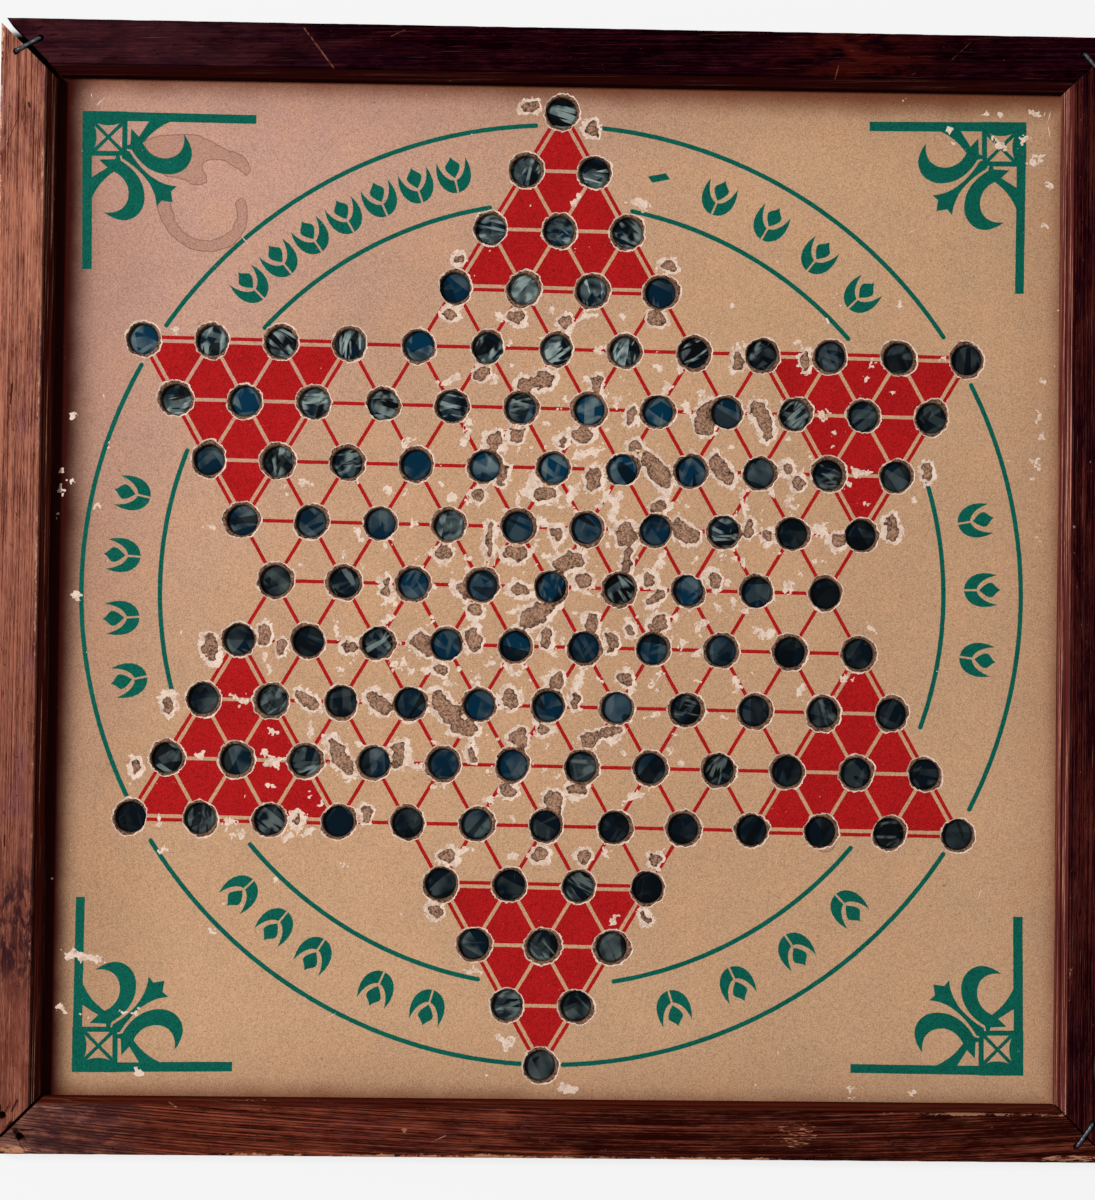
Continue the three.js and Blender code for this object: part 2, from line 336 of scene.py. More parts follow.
class Growth(Tree):
    """A geometry tree with named inputs, run once on an object to make a plain mesh."""

    def __init__(self, name, **inputs):
        self.group = bpy.data.node_groups.new(name, "GeometryNodeTree")
        super().__init__(self.group)
        face = self.group.interface
        face.new_socket("Geometry", in_out="INPUT", socket_type="NodeSocketGeometry")
        face.new_socket("Geometry", in_out="OUTPUT", socket_type="NodeSocketGeometry")
        for label, default in inputs.items():
            kind = "NodeSocketInt" if isinstance(default, int) else "NodeSocketFloat"
            socket = face.new_socket(self.spoken(label), in_out="INPUT", socket_type=kind)
            socket.default_value = default
        face.new_socket("Material", in_out="INPUT", socket_type="NodeSocketMaterial")
        self.start = self.node("NodeGroupInput")

    @staticmethod
    def spoken(label):
        """An input's name as Blender shows it."""
        return label.replace("_", " ").title()

    def given(self, label):
        """One of the tree's named inputs."""
        return Value(self, self.start.outputs[self.spoken(label)])

    def swept(self, path, profile):
        """A profile swept along a path, with its ends closed."""
        return self.value("GeometryNodeCurveToMesh", None, {
            "Curve": path, "Profile Curve": profile, "Fill Caps": True})

    def placed(self, points, shape, rotation):
        """A shape at each of some points."""
        return self.value("GeometryNodeInstanceOnPoints", None, {
            "Points": points, "Instance": shape, "Rotation": rotation})

    def end(self, shape):
        """Closes the tree: real geometry with the material on it."""
        real = self.value("GeometryNodeRealizeInstances", None, {0: shape})
        painted = self.value("GeometryNodeSetMaterial", None, {
            "Geometry": real, "Material": self.given("material")})
        self.feed(self.node("NodeGroupOutput").inputs[0], painted)

    def grown(self, source, **values):
        """The plain mesh that the tree makes of a source mesh with these inputs."""
        carrier = bpy.data.objects.new("growing", source)
        bpy.context.scene.collection.objects.link(carrier)
        modifier = carrier.modifiers.new("growth", "NODES")
        modifier.node_group = self.group
        for socket in self.group.interface.items_tree:
            label = socket.name.replace(" ", "_").lower()
            if socket.in_out == "INPUT" and label in values:
                modifier[socket.identifier] = values[label]
        graph = bpy.context.evaluated_depsgraph_get()
        mesh = bpy.data.meshes.new_from_object(carrier.evaluated_get(graph))
        bpy.data.objects.remove(carrier)
        return mesh


# Pieces and flat shapes

def board():
    """The sizes and colours of this board."""
    scene = bpy.context.scene
    return scene.board_star, scene.board_print, scene.board_rails, scene.board_metal, scene.board_colours


def piece(name, mesh, slot, *stands_for, rounded=None):
    """Puts a finished mesh into the scene, smooth below an angle in degrees where one is given."""
    mesh.name = name
    mesh.validate()
    mesh.shade_flat()
    if rounded:
        mesh.shade_smooth()
        mesh.set_sharp_from_angle(angle=math.radians(rounded))
    made = bpy.data.objects.new(name, mesh)
    bpy.context.scene.collection.objects.link(made)
    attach(made, BODY)
    if stands_for:
        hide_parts(*stands_for)


def mesh_of(points, faces, materials=(), indices=None, edges=()):
    """A mesh from points in metres."""
    mesh = bpy.data.meshes.new("mesh")
    mesh.from_pydata([tuple(map(float, point)) for point in points], edges, faces)
    for material in materials:
        mesh.materials.append(material)
    if indices is not None:
        mesh.polygons.foreach_set("material_index", indices)
    return mesh


@contextlib.contextmanager
def edited(mesh):
    """A bmesh of a mesh, written back when its changes are done."""
    shape = bmesh.new()
    shape.from_mesh(mesh)
    yield shape
    shape.to_mesh(mesh)
    shape.free()


def weld(mesh):
    """Merges doubled points and turns all faces of a closed mesh outwards."""
    with edited(mesh) as shape:
        bmesh.ops.remove_doubles(shape, verts=shape.verts, dist=0.001 * MM)
        bmesh.ops.recalc_face_normals(shape, faces=shape.faces)


def marked(mesh, name, values):
    """Gives each point of a mesh a named number."""
    mesh.attributes.new(name, "FLOAT", "POINT").data.foreach_set("value", values)


def signed_area(loop):
    """Area of a flat loop, positive where it runs anticlockwise."""
    x, y = np.asarray(loop, float).T
    return 0.5 * float(np.sum(x * np.roll(y, -1) - np.roll(x, -1) * y))


def anticlockwise(loop):
    """The same loop, running anticlockwise."""
    return np.asarray(loop, float) if signed_area(loop) > 0 else np.asarray(loop, float)[::-1]


def triangulated(**groups):
    """Triangulates the loops of all groups together.

    Returns the places of the corners, the triangles and, for each group, how many of its
    loops lie round each triangle.
    """
    places, faces, owners = [], [], []
    for name, loops in groups.items():
        for loop in loops:
            faces.append(list(range(len(places), len(places) + len(loop))))
            places.extend(Vector(point) / MM for point in anticlockwise(loop).tolist())
            owners.append(name)
    result = geometry.delaunay_2d_cdt(places, [], faces, 1, 1e-5, True)
    corners = np.array([tuple(place) for place in result[0]]) * MM
    triangles = np.array(result[2], int)
    counts = {name: np.zeros(len(triangles), int) for name in groups}
    for index, sources in enumerate(result[5]):
        for source in sources:
            counts[owners[source]][index] += 1
    return corners, triangles, counts


def walls_of(triangles):
    """The sides of some triangles and those of them that only one triangle has."""
    edges = np.vstack([triangles[:, [0, 1]], triangles[:, [1, 2]], triangles[:, [2, 0]]]).tolist()
    known = set(map(tuple, edges))
    return [(a, b) for a, b in edges if (b, a) not in known]


def two_levels(flat, low, high):
    """The same flat points at two heights, one lot after the other."""
    return np.vstack([np.c_[flat, np.full(len(flat), height)] for height in (low, high)])


def slab(corners, triangles, low, high, material):
    """A closed flat slab over some triangles, with walls round its edges."""
    used, compact = np.unique(triangles, return_inverse=True)
    compact = compact.reshape(-1, 3)
    count = len(used)
    faces = (compact + count).tolist() + compact[:, ::-1].tolist()
    faces += [(a, b, b + count, a + count) for a, b in walls_of(compact)]
    return mesh_of(two_levels(corners[used], low, high), faces, [material])


def joined(meshes):
    """Several meshes as one, with their materials kept."""
    base = bmesh.new()
    materials = []
    for mesh in meshes:
        before = len(base.faces)
        base.from_mesh(mesh)
        base.faces.ensure_lookup_table()
        offset = len(materials)
        materials.extend(mesh.materials)
        for face in base.faces[before:]:
            face.material_index += offset
    whole = bpy.data.meshes.new("joined")
    base.to_mesh(whole)
    base.free()
    if not materials:
        return whole
    unique = list(dict.fromkeys(materials))
    for material in unique:
        whole.materials.append(material)
    index = np.empty(len(whole.polygons), int)
    whole.polygons.foreach_get("material_index", index)
    whole.polygons.foreach_set("material_index", np.array([unique.index(m) for m in materials])[index])
    return whole


def value_noise(xs, ys, cell, seed):
    """Smooth random heights from -1 to 1 over a grid, with features of one cell's size."""
    draw = np.random.default_rng(seed)
    across, up = (xs - xs[0]) / cell, (ys - ys[0]) / cell
    i, j = across.astype(int), up.astype(int)
    heights = draw.uniform(-1, 1, (j[-1] + 2, i[-1] + 2))
    s, t = across - i, up - j
    s, t = s * s * (3 - 2 * s), (t * t * (3 - 2 * t))[:, None]
    low = heights[np.ix_(j, i)] * (1 - s) + heights[np.ix_(j, i + 1)] * s
    high = heights[np.ix_(j + 1, i)] * (1 - s) + heights[np.ix_(j + 1, i + 1)] * s
    return low * (1 - t) + high * t


def contours(field, xs, ys, coarseness):
    """Closed loops where a field changes sign, found triangle by triangle over its grid."""
    rows, columns = field.shape
    index = np.arange(rows * columns).reshape(rows, columns)
    a, b, c, d = index[:-1, :-1], index[:-1, 1:], index[1:, 1:], index[1:, :-1]
    triangles = np.concatenate([np.stack([a, b, c], -1).reshape(-1, 3),
                                np.stack([a, c, d], -1).reshape(-1, 3)])
    heights = field.ravel()
    inside = heights < 0
    held = inside[triangles].sum(1)
    triangles = triangles[(held == 1) | (held == 2)]
    follows = {}
    for triangle in triangles.tolist():
        flags = [bool(inside[p]) for p in triangle]
        odd = flags.index(sum(flags) == 1)
        p, q, r = triangle[odd], triangle[(odd + 1) % 3], triangle[(odd + 2) % 3]
        start, stop = tuple(sorted((p, q))), tuple(sorted((p, r)))
        if not flags[odd]:
            start, stop = stop, start
        follows[start] = stop
    loops = []
    while follows:
        start, stop = follows.popitem()
        chain = [start]
        while stop != start:
            chain.append(stop)
            stop = follows.pop(stop)
        ends = np.array(chain)
        f, g = heights[ends[:, 0]], heights[ends[:, 1]]
        share = np.clip(f / (f - g), 0.02, 0.98)[:, None]
        grid = np.stack([xs[ends % columns], ys[ends // columns]], -1)
        loop = grid[:, 0] * (1 - share) + grid[:, 1] * share
        for _ in range(2):
            if len(loop) < 8:
                break
            chord = np.roll(loop, -1, 0) - np.roll(loop, 1, 0)
            arm = loop - np.roll(loop, 1, 0)
            offset = np.abs(chord[:, 0] * arm[:, 1] - chord[:, 1] * arm[:, 0])
            offset /= np.hypot(*chord.T) + 1e-12
            keep = offset > coarseness
            keep[::2] = True
            loop = loop[keep]
        if abs(signed_area(loop)) > (0.25 * MM) ** 2:
            loops.append(loop)
    return loops


def bezier(start, *segments, steps=10):
    """An outline of straight and curved segments: one point for a straight one, three for a curve."""
    outline = [np.array(start, float)]
    for segment in segments:
        first = outline[-1]
        if len(segment) == 2 and not hasattr(segment[0], "__len__"):
            outline.append(np.array(segment, float))
            continue
        pull, push, last = (np.array(point, float) for point in segment)
        for t in np.linspace(0, 1, steps + 1)[1:]:
            outline.append((1 - t) ** 3 * first + 3 * (1 - t) ** 2 * t * pull
                           + 3 * (1 - t) * t ** 2 * push + t ** 3 * last)
    return np.array(outline)


def turned_square(points, quarters):
    """Flat points turned by quarter turns."""
    c, s = ((1, 0), (0, 1), (-1, 0), (0, -1))[quarters % 4]
    return points @ np.array([[c, s], [-s, c]])


def roughened(loop, step, wobble, seed):
    """A loop with points added along its sides and each moved a little, as ink runs on paper."""
    draw = np.random.default_rng(seed)
    points = []
    for first, last in zip(loop, np.roll(loop, -1, 0)):
        pieces = max(1, round(float(np.hypot(*(last - first))) / step))
        points.extend(first + (last - first) * k / pieces for k in range(pieces))
    points = np.array(points)
    return points + draw.uniform(-wobble, wobble, points.shape)


# The star's lattice

ROW = math.sin(math.pi / 3)


def star_rows(arm_rows):
    """The holes of the star as rows and places in half pitches from the middle."""
    outer = 2 * arm_rows
    for row in range(-outer, outer + 1):
        away = abs(row)
        count = outer + away + 1 if away <= arm_rows else outer - away + 1
        for index in range(count):
            yield 2 * index - count + 1, row


def star_place(u, v):
    """The place on the board of a point given in pitches from the star's middle."""
    star = board()[0]
    c, s = math.cos(star.turned), math.sin(star.turned)
    return np.array([
        (u * c - v * s) * star.pitch + star.shift_x,
        (u * s + v * c) * star.pitch + star.shift_y,
    ])


def print_place(points):
    """The places on the board of points given in metres from the green print's middle."""
    star, ink = board()[:2]
    middle = star_place(0, 0) + (ink.shift_x, ink.shift_y)
    angle = star.turned + ink.turned
    c, s = math.cos(angle), math.sin(angle)
    return np.asarray(points, float) @ np.array([[c, s], [-s, c]]) + middle


def hole_places():
    """The places of all holes on the board, in metres."""
    star = board()[0]
    return np.array([star_place(half / 2, row * ROW) for half, row in star_rows(star.arm_rows)])


# Where the paper is torn down to the core: place right and up of the star's middle, half length
# and half width in hundredths of a pitch, and the turn of the length in degrees
TORN_PATCHES = (
    (-45, 700, 11, 7, 20), (45, 671, 13, 8, 80), (-146, 475, 5, 5, 0), (160, 472, 11, 7, 10),
    (-156, 393, 10, 7, 20), (-57, 392, 11, 8, 170), (11, 385, 9, 8, 0), (145, 394, 12, 9, 160),
    (-109, 310, 9, 7, 0), (-30, 297, 27, 11, 20), (-56, 220, 11, 9, 0), (-87, 210, 12, 10, 90),
    (-110, 132, 9, 8, 0), (-78, 162, 14, 8, 80), (-11, 136, 14, 11, 0), (-90, 67, 24, 5, 92),
    (-157, 46, 12, 8, 0), (-56, 47, 17, 9, 10), (61, 296, 12, 6, 90), (42, 224, 13, 9, 15),
    (11, 213, 6, 5, 0), (265, 337, 12, 5, 85), (110, 250, 10, 5, 90), (220, 250, 24, 16, 80),
    (302, 252, 28, 10, 115), (363, 339, 13, 5, 90), (60, 160, 17, 11, 70), (115, 206, 10, 8, 60),
    (150, 172, 30, 12, 130), (245, 176, 25, 10, 130), (342, 180, 9, 6, 120), (356, 162, 10, 8, 100),
    (545, 181, 12, 7, 90), (494, 98, 17, 8, 95), (107, 80, 18, 13, 100), (192, 85, 20, 13, 150),
    (155, 119, 10, 7, 0), (109, 40, 20, 5, 85), (23, 38, 22, 12, 20), (8, 76, 12, 9, 90),
    (47, 10, 12, 9, 0), (287, 95, 12, 5, 80), (315, 82, 10, 7, 100), (415, 77, 10, 8, 0),
    (143, 14, 10, 7, 100), (238, 15, 12, 6, 110), (-491, -100, 18, 10, 100), (-413, -78, 14, 7, 90),
    (-389, -94, 9, 5, 90), (-288, -94, 9, 7, 0), (-238, -8, 13, 5, 100), (-184, -86, 19, 13, 160),
    (-110, -78, 17, 8, 95), (-110, -36, 10, 8, 80), (-129, -10, 11, 5, 120), (-20, -40, 27, 13, 40),
    (-42, -6, 15, 7, 160), (-6, -74, 12, 6, 90), (-160, -122, 10, 7, 0), (-56, -162, 15, 10, 100),
    (-146, -182, 32, 13, 130), (-122, -207, 19, 9, 0), (-248, -172, 20, 11, 140), (-350, -172, 19, 8, 145),
    (-548, -182, 12, 7, 90), (-300, -253, 30, 9, 120), (-215, -247, 17, 9, 80), (-110, -245, 12, 5, 90),
    (-43, -220, 14, 12, 0), (-56, -295, 10, 8, 0), (-6, -208, 8, 7, 0), (-594, -273, 10, 5, 90),
    (-259, -334, 10, 5, 90), (-358, -344, 9, 6, 90), (-140, -392, 12, 9, 0), (-9, -388, 10, 10, 0),
    (60, -50, 13, 8, 90), (90, -78, 12, 6, 90), (156, -50, 13, 11, 20), (117, -57, 8, 4, 90),
    (153, -10, 12, 5, 30), (10, -134, 13, 9, 60), (39, -164, 11, 5, 100), (112, -130, 9, 9, 0),
    (62, -221, 14, 9, 30), (94, -208, 14, 8, 20), (44, -292, 11, 9, 0), (10, -312, 16, 11, 80),
    (58, -390, 10, 7, 90), (160, -393, 10, 8, 90), (-158, -473, 10, 7, 160), (148, -477, 8, 5, 140),
)

# Where only the print is scuffed off and the paper shows pale, in the same terms
SCUFFS = (
    (113, 563, 16, 6, 160), (24, 565, 7, 4, 60), (-152, 298, 20, 6, 30), (-32, 150, 20, 12, 60),
    (447, 177, 13, 6, 170), (392, 263, 9, 6, 10), (460, 342, 9, 4, 80), (560, 345, 6, 4, 40),
    (195, 262, 18, 4, 110), (162, 293, 10, 7, 60), (90, 265, 12, 6, 90), (50, 195, 30, 8, 20),
    (30, 140, 20, 6, 60), (90, 120, 25, 7, 80), (-20, 95, 12, 10, 20), (280, 115, 16, 5, 100),
    (387, 92, 12, 8, 0), (342, 12, 8, 8, 0), (-145, 125, 10, 8, 0), (-128, 215, 12, 4, 60),
    (-360, 145, 9, 5, 140), (-549, 357, 5, 4, 0), (-449, -174, 15, 8, 165), (-501, -255, 5, 7, 0),
    (-394, -262, 10, 8, 150), (-186, -266, 9, 6, 60), (-157, -292, 10, 5, 10), (-444, -366, 13, 7, 120),
    (-340, -360, 9, 6, 30), (-558, -350, 9, 5, 90), (-460, -350, 8, 5, 90), (-56, -122, 14, 5, 150),
    (-75, -306, 18, 5, 20), (45, -130, 20, 8, 60), (219, -52, 12, 7, 70), (192, -80, 12, 5, 85),
    (314, -62, 12, 10, 30), (367, -143, 10, 6, 60), (274, -140, 16, 5, 100), (155, -135, 14, 4, 60),
    (145, -185, 20, 3, 10), (127, -303, 19, 5, 20), (-106, -558, 13, 4, 170), (-52, -658, 16, 7, 150),
    (-44, -390, 10, 7, 0), (-114, -383, 9, 7, 0), (92, -381, 10, 6, 20), (102, -482, 5, 4, 90),
    (-226, -125, 7, 5, 0), (-234, -50, 12, 4, 40), (-310, -70, 10, 5, 100), (-15, -185, 16, 5, 70),
    (3, -210, 12, 5, 0), (-200, -198, 12, 5, 30), (-342, -210, 14, 4, 100), (-410, -120, 16, 4, 110),
    (505, 320, 4, 3, 0), (-10, 360, 14, 3, 170), (42, 395, 16, 7, 20), (-85, 390, 8, 6, 60),
    (638, 662, 10, 8, 130), (568, 675, 12, 5, 100), (677, 670, 10, 5, 60), (690, 645, 9, 3, 80),
    (-662, 100, 6, 4, 100), (-686, -24, 10, 5, 130), (697, 338, 3.5, 2, 120), (709, 319, 5, 4.5, 0),
    (707, 265, 4, 2, 90), (712, 237, 7, 3, 80), (704, 199, 7, 5, 60), (710, 108, 3, 2, 0),
    (709, 89, 5, 2, 140), (-580, -716, 7, 3, 20), (-490, -712, 3.5, 2, 160), (-480, -710, 2, 2, 0),
    (617, 707, 8, 4, 20), (642, 709, 5, 3, 150), (691, 710, 7, 4.5, 140), (705, 649, 6, 2.5, 60),
    (714, 604, 2.5, 2, 0), (711, 546, 3.5, 2.5, 0), (41, -726, 13, 6, 160), (448, -717, 6, 3, 165),
    (539, -723, 3.5, 3, 0), (312, -714, 2, 2, 0), (-710, -437, 3, 3, 0), (-664.5, -548, 25, 5.5, 175),
    (-594, -628, 10, 3.5, 0), (-648.5, -636, 8, 3.5, 5), (-692, -623, 5, 4.5, 0), (-713, 153, 4, 3, 60),
    (-699, 136, 3, 2, 90), (-714, 126, 5, 3, 80), (-699, 230, 2, 2, 0), (-710, 89, 3, 4.5, 0),
)
SMALL_SCUFFS = 520


def torn_fields():
    """Fields over the card that are negative inside the torn core and inside the torn paper."""
    star = board()[0]
    cell = 0.42 * MM
    xs = np.arange(CARD_LOW.x, CARD_HIGH.x, cell)
    ys = np.arange(CARD_LOW.y, CARD_HIGH.y, cell)
    wander, fray, teeth, bite, net = (
        value_noise(xs, ys, size * MM, 11 + n) for n, size in enumerate((2.6, 1.05, 0.8, 4.2, 5.2)))
    far = 4 * MM
    rims = np.full(wander.shape, far)
    patches = rims.copy()
    scuffs = rims.copy()
    draw = np.random.default_rng(5)

    def stamp(target, middle, half_length, half_width, angle):
        reach = half_length + far
        columns = slice(*np.searchsorted(xs, (middle[0] - reach, middle[0] + reach)))
        rows = slice(*np.searchsorted(ys, (middle[1] - reach, middle[1] + reach)))
        right, up = xs[columns] - middle[0], (ys[rows] - middle[1])[:, None]
        along = right * math.cos(angle) + up * math.sin(angle)
        aside = up * math.cos(angle) - right * math.sin(angle)
        ellipse = np.hypot(along / half_length, aside / half_width)
        shrink = np.hypot(along / half_length ** 2, aside / half_width ** 2) + 1e-9
        near = np.minimum((ellipse - 1) * ellipse / shrink, far)
        target[rows, columns] = np.minimum(target[rows, columns], near)

    for place in hole_places():
        middle = place + draw.uniform(-0.3, 0.3, 2) * MM
        radius = star.rim + draw.uniform(-0.3, 0.3) * MM
        stretch = draw.uniform(0.97, 1.07)
        stamp(rims, middle, radius * stretch, radius / stretch, draw.uniform(0, math.pi))
    for target, marks in ((patches, TORN_PATCHES), (scuffs, SCUFFS)):
        for *sizes, degrees in marks:
            u, v, half_length, half_width = (size / 100 for size in sizes)
            stamp(target, star_place(u, v), half_length * star.pitch, half_width * star.pitch,
                  math.radians(degrees) + star.turned)
    for _ in range(SMALL_SCUFFS):
        u, v = draw.normal(0, 1.5, 2) + draw.normal(0, 1.3) * np.array((1.2, 0.9))
        size = draw.uniform(0.008, 0.03) * star.pitch
        middle = star_place(np.clip(u, -7, 7), np.clip(v, -7, 7))
        stamp(scuffs, middle, size * draw.uniform(1, 2.6), size, draw.uniform(0, math.pi))
    core_rims = rims + (0.36 * wander + 0.34 * fray) * MM
    core_patches = patches + (1.1 * wander + 0.6 * fray + 0.6 * bite - 0.3) * MM
    rim_band = (0.33 + 0.3 * np.abs(teeth) + 0.35 * np.maximum(bite, 0)) * MM
    patch_band = (0.8 + 1.3 * np.abs(teeth) + 1.7 * np.maximum(bite, 0)) * MM
    web = (9 * np.abs(net) - 0.9 + 2.2 * teeth + 0.8 * fray) * MM + np.maximum(0, 2.2 * (patches - 1.6 * MM))
    core = np.minimum(core_rims, core_patches)
    paper = functools.reduce(np.minimum, (
        core_rims - rim_band, core_patches - patch_band,
        scuffs + (0.35 + 1.9 * wander + 1.5 * teeth) * MM, web, core - 0.2 * MM))
    edge = 3 * MM
    beyond = (np.minimum(xs - xs[0], xs[-1] - xs) < edge) | (
        np.minimum(ys - ys[0], ys[-1] - ys) < edge)[:, None]
    core[beyond] = far
    paper[beyond] = far
    return xs, ys, core, paper


# Outlines of a dried spill by the top left ornament, in millimetres along and down from the
# outer corner of its bracket
SPILLS = (
    ((25, 12.6), (30.5, 10), (39, 9.2), (46, 9), (53, 12), (59, 15.2), (65.5, 17.8), (68.4, 22.5),
     (67, 25.6), (63, 23), (58, 20), (52.5, 19.4), (48.6, 21.8), (50.6, 25.8), (50.2, 29), (46, 29.8),
     (41.5, 28), (38, 26.8), (33, 25.6), (28.5, 19)),
    ((30.5, 37), (32.6, 44.8), (36.9, 50.6), (42.5, 54.8), (49.6, 56.9), (56, 56.4), (62.3, 53.4),
     (66.4, 47.8), (67.4, 41), (65.6, 35), (62.4, 36.8), (63, 42), (61, 47.4), (56.2, 51), (49.8, 52.2),
     (43.4, 50.4), (38.8, 45.4), (36.4, 38.5), (34, 34)),
    ((301, 291), (304, 289.4), (307.6, 290.4), (309, 294), (307, 298), (303, 299), (300, 296)),
)


def spills():
    """The outlines of the spills on the board and the outlines just inside them."""
    outer, inner = [], []
    for number, outline in enumerate(SPILLS):
        draw = np.random.default_rng(50 + number)
        loop = np.array(outline) * MM
        before, after, further = np.roll(loop, 1, 0), np.roll(loop, -1, 0), np.roll(loop, -2, 0)
        smooth = []
        for t in np.linspace(0, 1, 7)[:-1]:
            square = (2 * before - 5 * loop + 4 * after - further) * t * t
            cube = (3 * loop - before - 3 * after + further) * t ** 3
            smooth.append(0.5 * (2 * loop + (after - before) * t + square + cube))
        loop = np.stack(smooth, 1).reshape(-1, 2)
        loop = BOARD_OT_green.quartered(loop + draw.normal(0, 0.16 * MM, loop.shape), 0, board()[1])
        loop = anticlockwise(print_place(loop))
        along = np.roll(loop, -2, 0) - np.roll(loop, 2, 0)
        along /= np.hypot(*along.T)[:, None]
        outer.append(loop)
        inner.append(loop + np.stack([-along[:, 1], along[:, 0]], -1) * 0.42 * MM)
    return outer, inner


# Thin scratches in the print, from end to end in pitches from the star's middle
SCRATCHES = (
    ((-6.77, 6.83), (-6.63, 6.97)), ((-6.84, 7.02), (-6.83, 6.94)), ((-6.38, 6.25), (-6.41, 6.34)),
    ((-6.39, -7.86), (-6.37, -7.74)), ((-4.62, 5.0), (-4.5, 4.86)), ((-3.1, -6.3), (-2.95, -6.22)),
    ((6.3, -4.4), (6.36, -4.22)), ((5.1, 5.3), (5.22, 5.36)), ((7.16, 7.16), (7.11, 6.97)),
    ((7.11, 6.98), (7.16, 6.72)), ((7.08, 7.14), (7.05, 7.05)),
)


@functools.cache
def tears():
    """The loops round the torn core, the torn paper and the depth of the core, worked out once."""
    xs, ys, core, paper = torn_fields()
    torn = contours(paper, xs, ys, 0.025 * MM)
    for start, end in SCRATCHES:
        start, end = star_place(*start), star_place(*end)
        aside = (end - start)[::-1] * (-1, 1) / np.hypot(*(end - start)) * 0.2 * MM
        torn.append(np.array([start, start * 0.6 + end * 0.4 - aside, end, start * 0.5 + end * 0.5 + aside]))
    return {"core": contours(core, xs, ys, 0.025 * MM), "paper": torn,
            "deep": contours(core + 1.3 * MM, xs, ys, 0.05 * MM)}


def sheet_outline():
    """The outline of the card."""
    return np.array([(CARD_LOW.x, CARD_LOW.y), (CARD_HIGH.x, CARD_LOW.y),
                     (CARD_HIGH.x, CARD_HIGH.y), (CARD_LOW.x, CARD_HIGH.y)])


# Finishes

def card_grain(shader):
    """Fine fibres and specks of paper, about 0.5 on average."""
    fine = shader.noise(1950, 2, 0.8)
    coarse = shader.noise(800, 2, 0.6, seed=3)
    return 0.84 * fine + 0.16 * coarse


def edge_dirt_and_shade(shader):
    """Dirt and painted shade on the card: 1 under the rails and fading away from them, and the deep painted
    shadow along the left rail.
    """
    wander = (shader.noise(60, 3, 0.6, seed=7) - 0.5) * (5 * MM)
    left = SIGHT_X + shader.x
    right = SIGHT_X - shader.x + 1.2 * MM
    top = SIGHT_Y - shader.y - 3 * MM * shader.x.step(-0.1, 0.15)
    bottom = SIGHT_Y + shader.y + 1.2 * MM + 2.6 * MM * shader.x.step(-0.1, 0.12)
    nearest = (right + 2.5 * MM).maths("MINIMUM", top).maths("MINIMUM", bottom) + wander
    # Bands towards the rails: dirt and painted shade together
    wide = left.maths("MINIMUM", (nearest + 14 * MM) * 1.2).step(60 * MM, 0) * 0.26
    # Painted shadow cast by the left rail
    shade = (left * (1 + 0.4 * shader.y.step(0.06, -0.14)) + wander * 0.7).step(25 * MM, 4.4 * MM)
    return (wide + nearest.step(10 * MM, -2 * MM) * 0.72).clamp(), shade ** 2.6


def paper_tone(shader):
    """The clean paper, pinker at the top left: its colour and its grain."""
    grain = card_grain(shader)
    cloud = shader.noise(9, 4, 0.6, seed=1)
    blotch = shader.noise(60, 3, 0.6, seed=2)
    base = shader.mix((shader.y - shader.x).step(0.05, 0.32), screen(191, 152, 119), screen(188, 146, 130))
    base = shader.mix(blotch.step(0.35, 0.75) * 0.3, base, screen(192, 142, 104))
    tone = 0.66 + 0.76 * grain.step(0.26, 0.74) + 0.35 * (cloud - 0.5) + 0.25 * (blotch - 0.5)
    base = shader.shaded(base, tone)
    return shader.mix(grain.step(0.46, 0.3) * 0.4, base, screen(146, 98, 70)), grain


def paper_finish(colours, name, soil):
    """The tan printed paper, clean or in a dried spill."""
    shader = Shader(name)
    base, grain = paper_tone(shader)
    dirt_and_shade, shade = edge_dirt_and_shade(shader)
    # Beside the rails: dirt and painted shade
    base = shader.mix(dirt_and_shade, base, shader.shaded(colours.card_dark, 0.3 + 1.4 * grain))
    # Painted shadow of the left rail
    base = shader.mix(shade, base, screen(52, 14, 9))
    spots = shader.noise(330, 2, 0.5, seed=5).step(0.70, 0.78)
    flecks = shader.noise(560, 3, 0.7, 1.5, seed=8).step(0.70, 0.74)
    middle = ((shader.x * shader.x + shader.y * shader.y) ** 0.5).step(0.16, 0.02)
    base = shader.mix(spots * 0.4, base, colours.card_dark)
    base = shader.mix(flecks * (0.25 + 0.6 * middle), base, colours.torn)
    base = shader.mix(soil, base, shader.shaded(screen(120, 76, 62), 0.5 + grain))
    shader.fixed(specular_ior_level=0.03)
    return shader.finish(base, 0.85 - 0.1 * grain, grain, 0.14 * MM, 0.6)


def torn_finish(colours):
    """The pale fibres where paper is torn or its print is scuffed off."""
    shader = Shader("card_torn")
    fibres = shader.noise(1300, 4, 0.75, 1.2)
    cloud = shader.noise(330, 2, 0.6, 0.5, seed=3)
    base = shader.mix((fibres * 0.6 + cloud * 0.4).step(0.36, 0.56), screen(192, 156, 132), colours.torn)
    shader.fixed(specular_ior_level=0.2)
    return shader.finish(base, 0.95, fibres, 0.2 * MM, 0.7)


def core_finish(colours):
    """The brown felted board under the paper, darker at the torn edges and round the holes, with painted
    shade down the holes' walls.
    """
    shader = Shader("card_core")
    felt = shader.noise(1150, 3, 0.8)
    cloud = shader.noise(190, 3, 0.6, seed=4)
    # Darker at torn edges and hole rims, and down the hole walls as painted shade
    near = shader.value("ShaderNodeAttribute", {"attribute_name": "near_edge"}, output="Fac")
    tone = felt.step(0.36, 0.62) * 1.3 + 0.3 + 1.5 * (cloud - 0.5) - 0.2 * near
    base = shader.mix(near * 0.5, colours.core, screen(92, 58, 42))
    shader.fixed(specular_ior_level=0.1)
    base = shader.shaded(base, tone.maths("MAXIMUM", 0.16))
    return shader.finish(base, 0.96, felt, 0.35 * MM, 0.9)


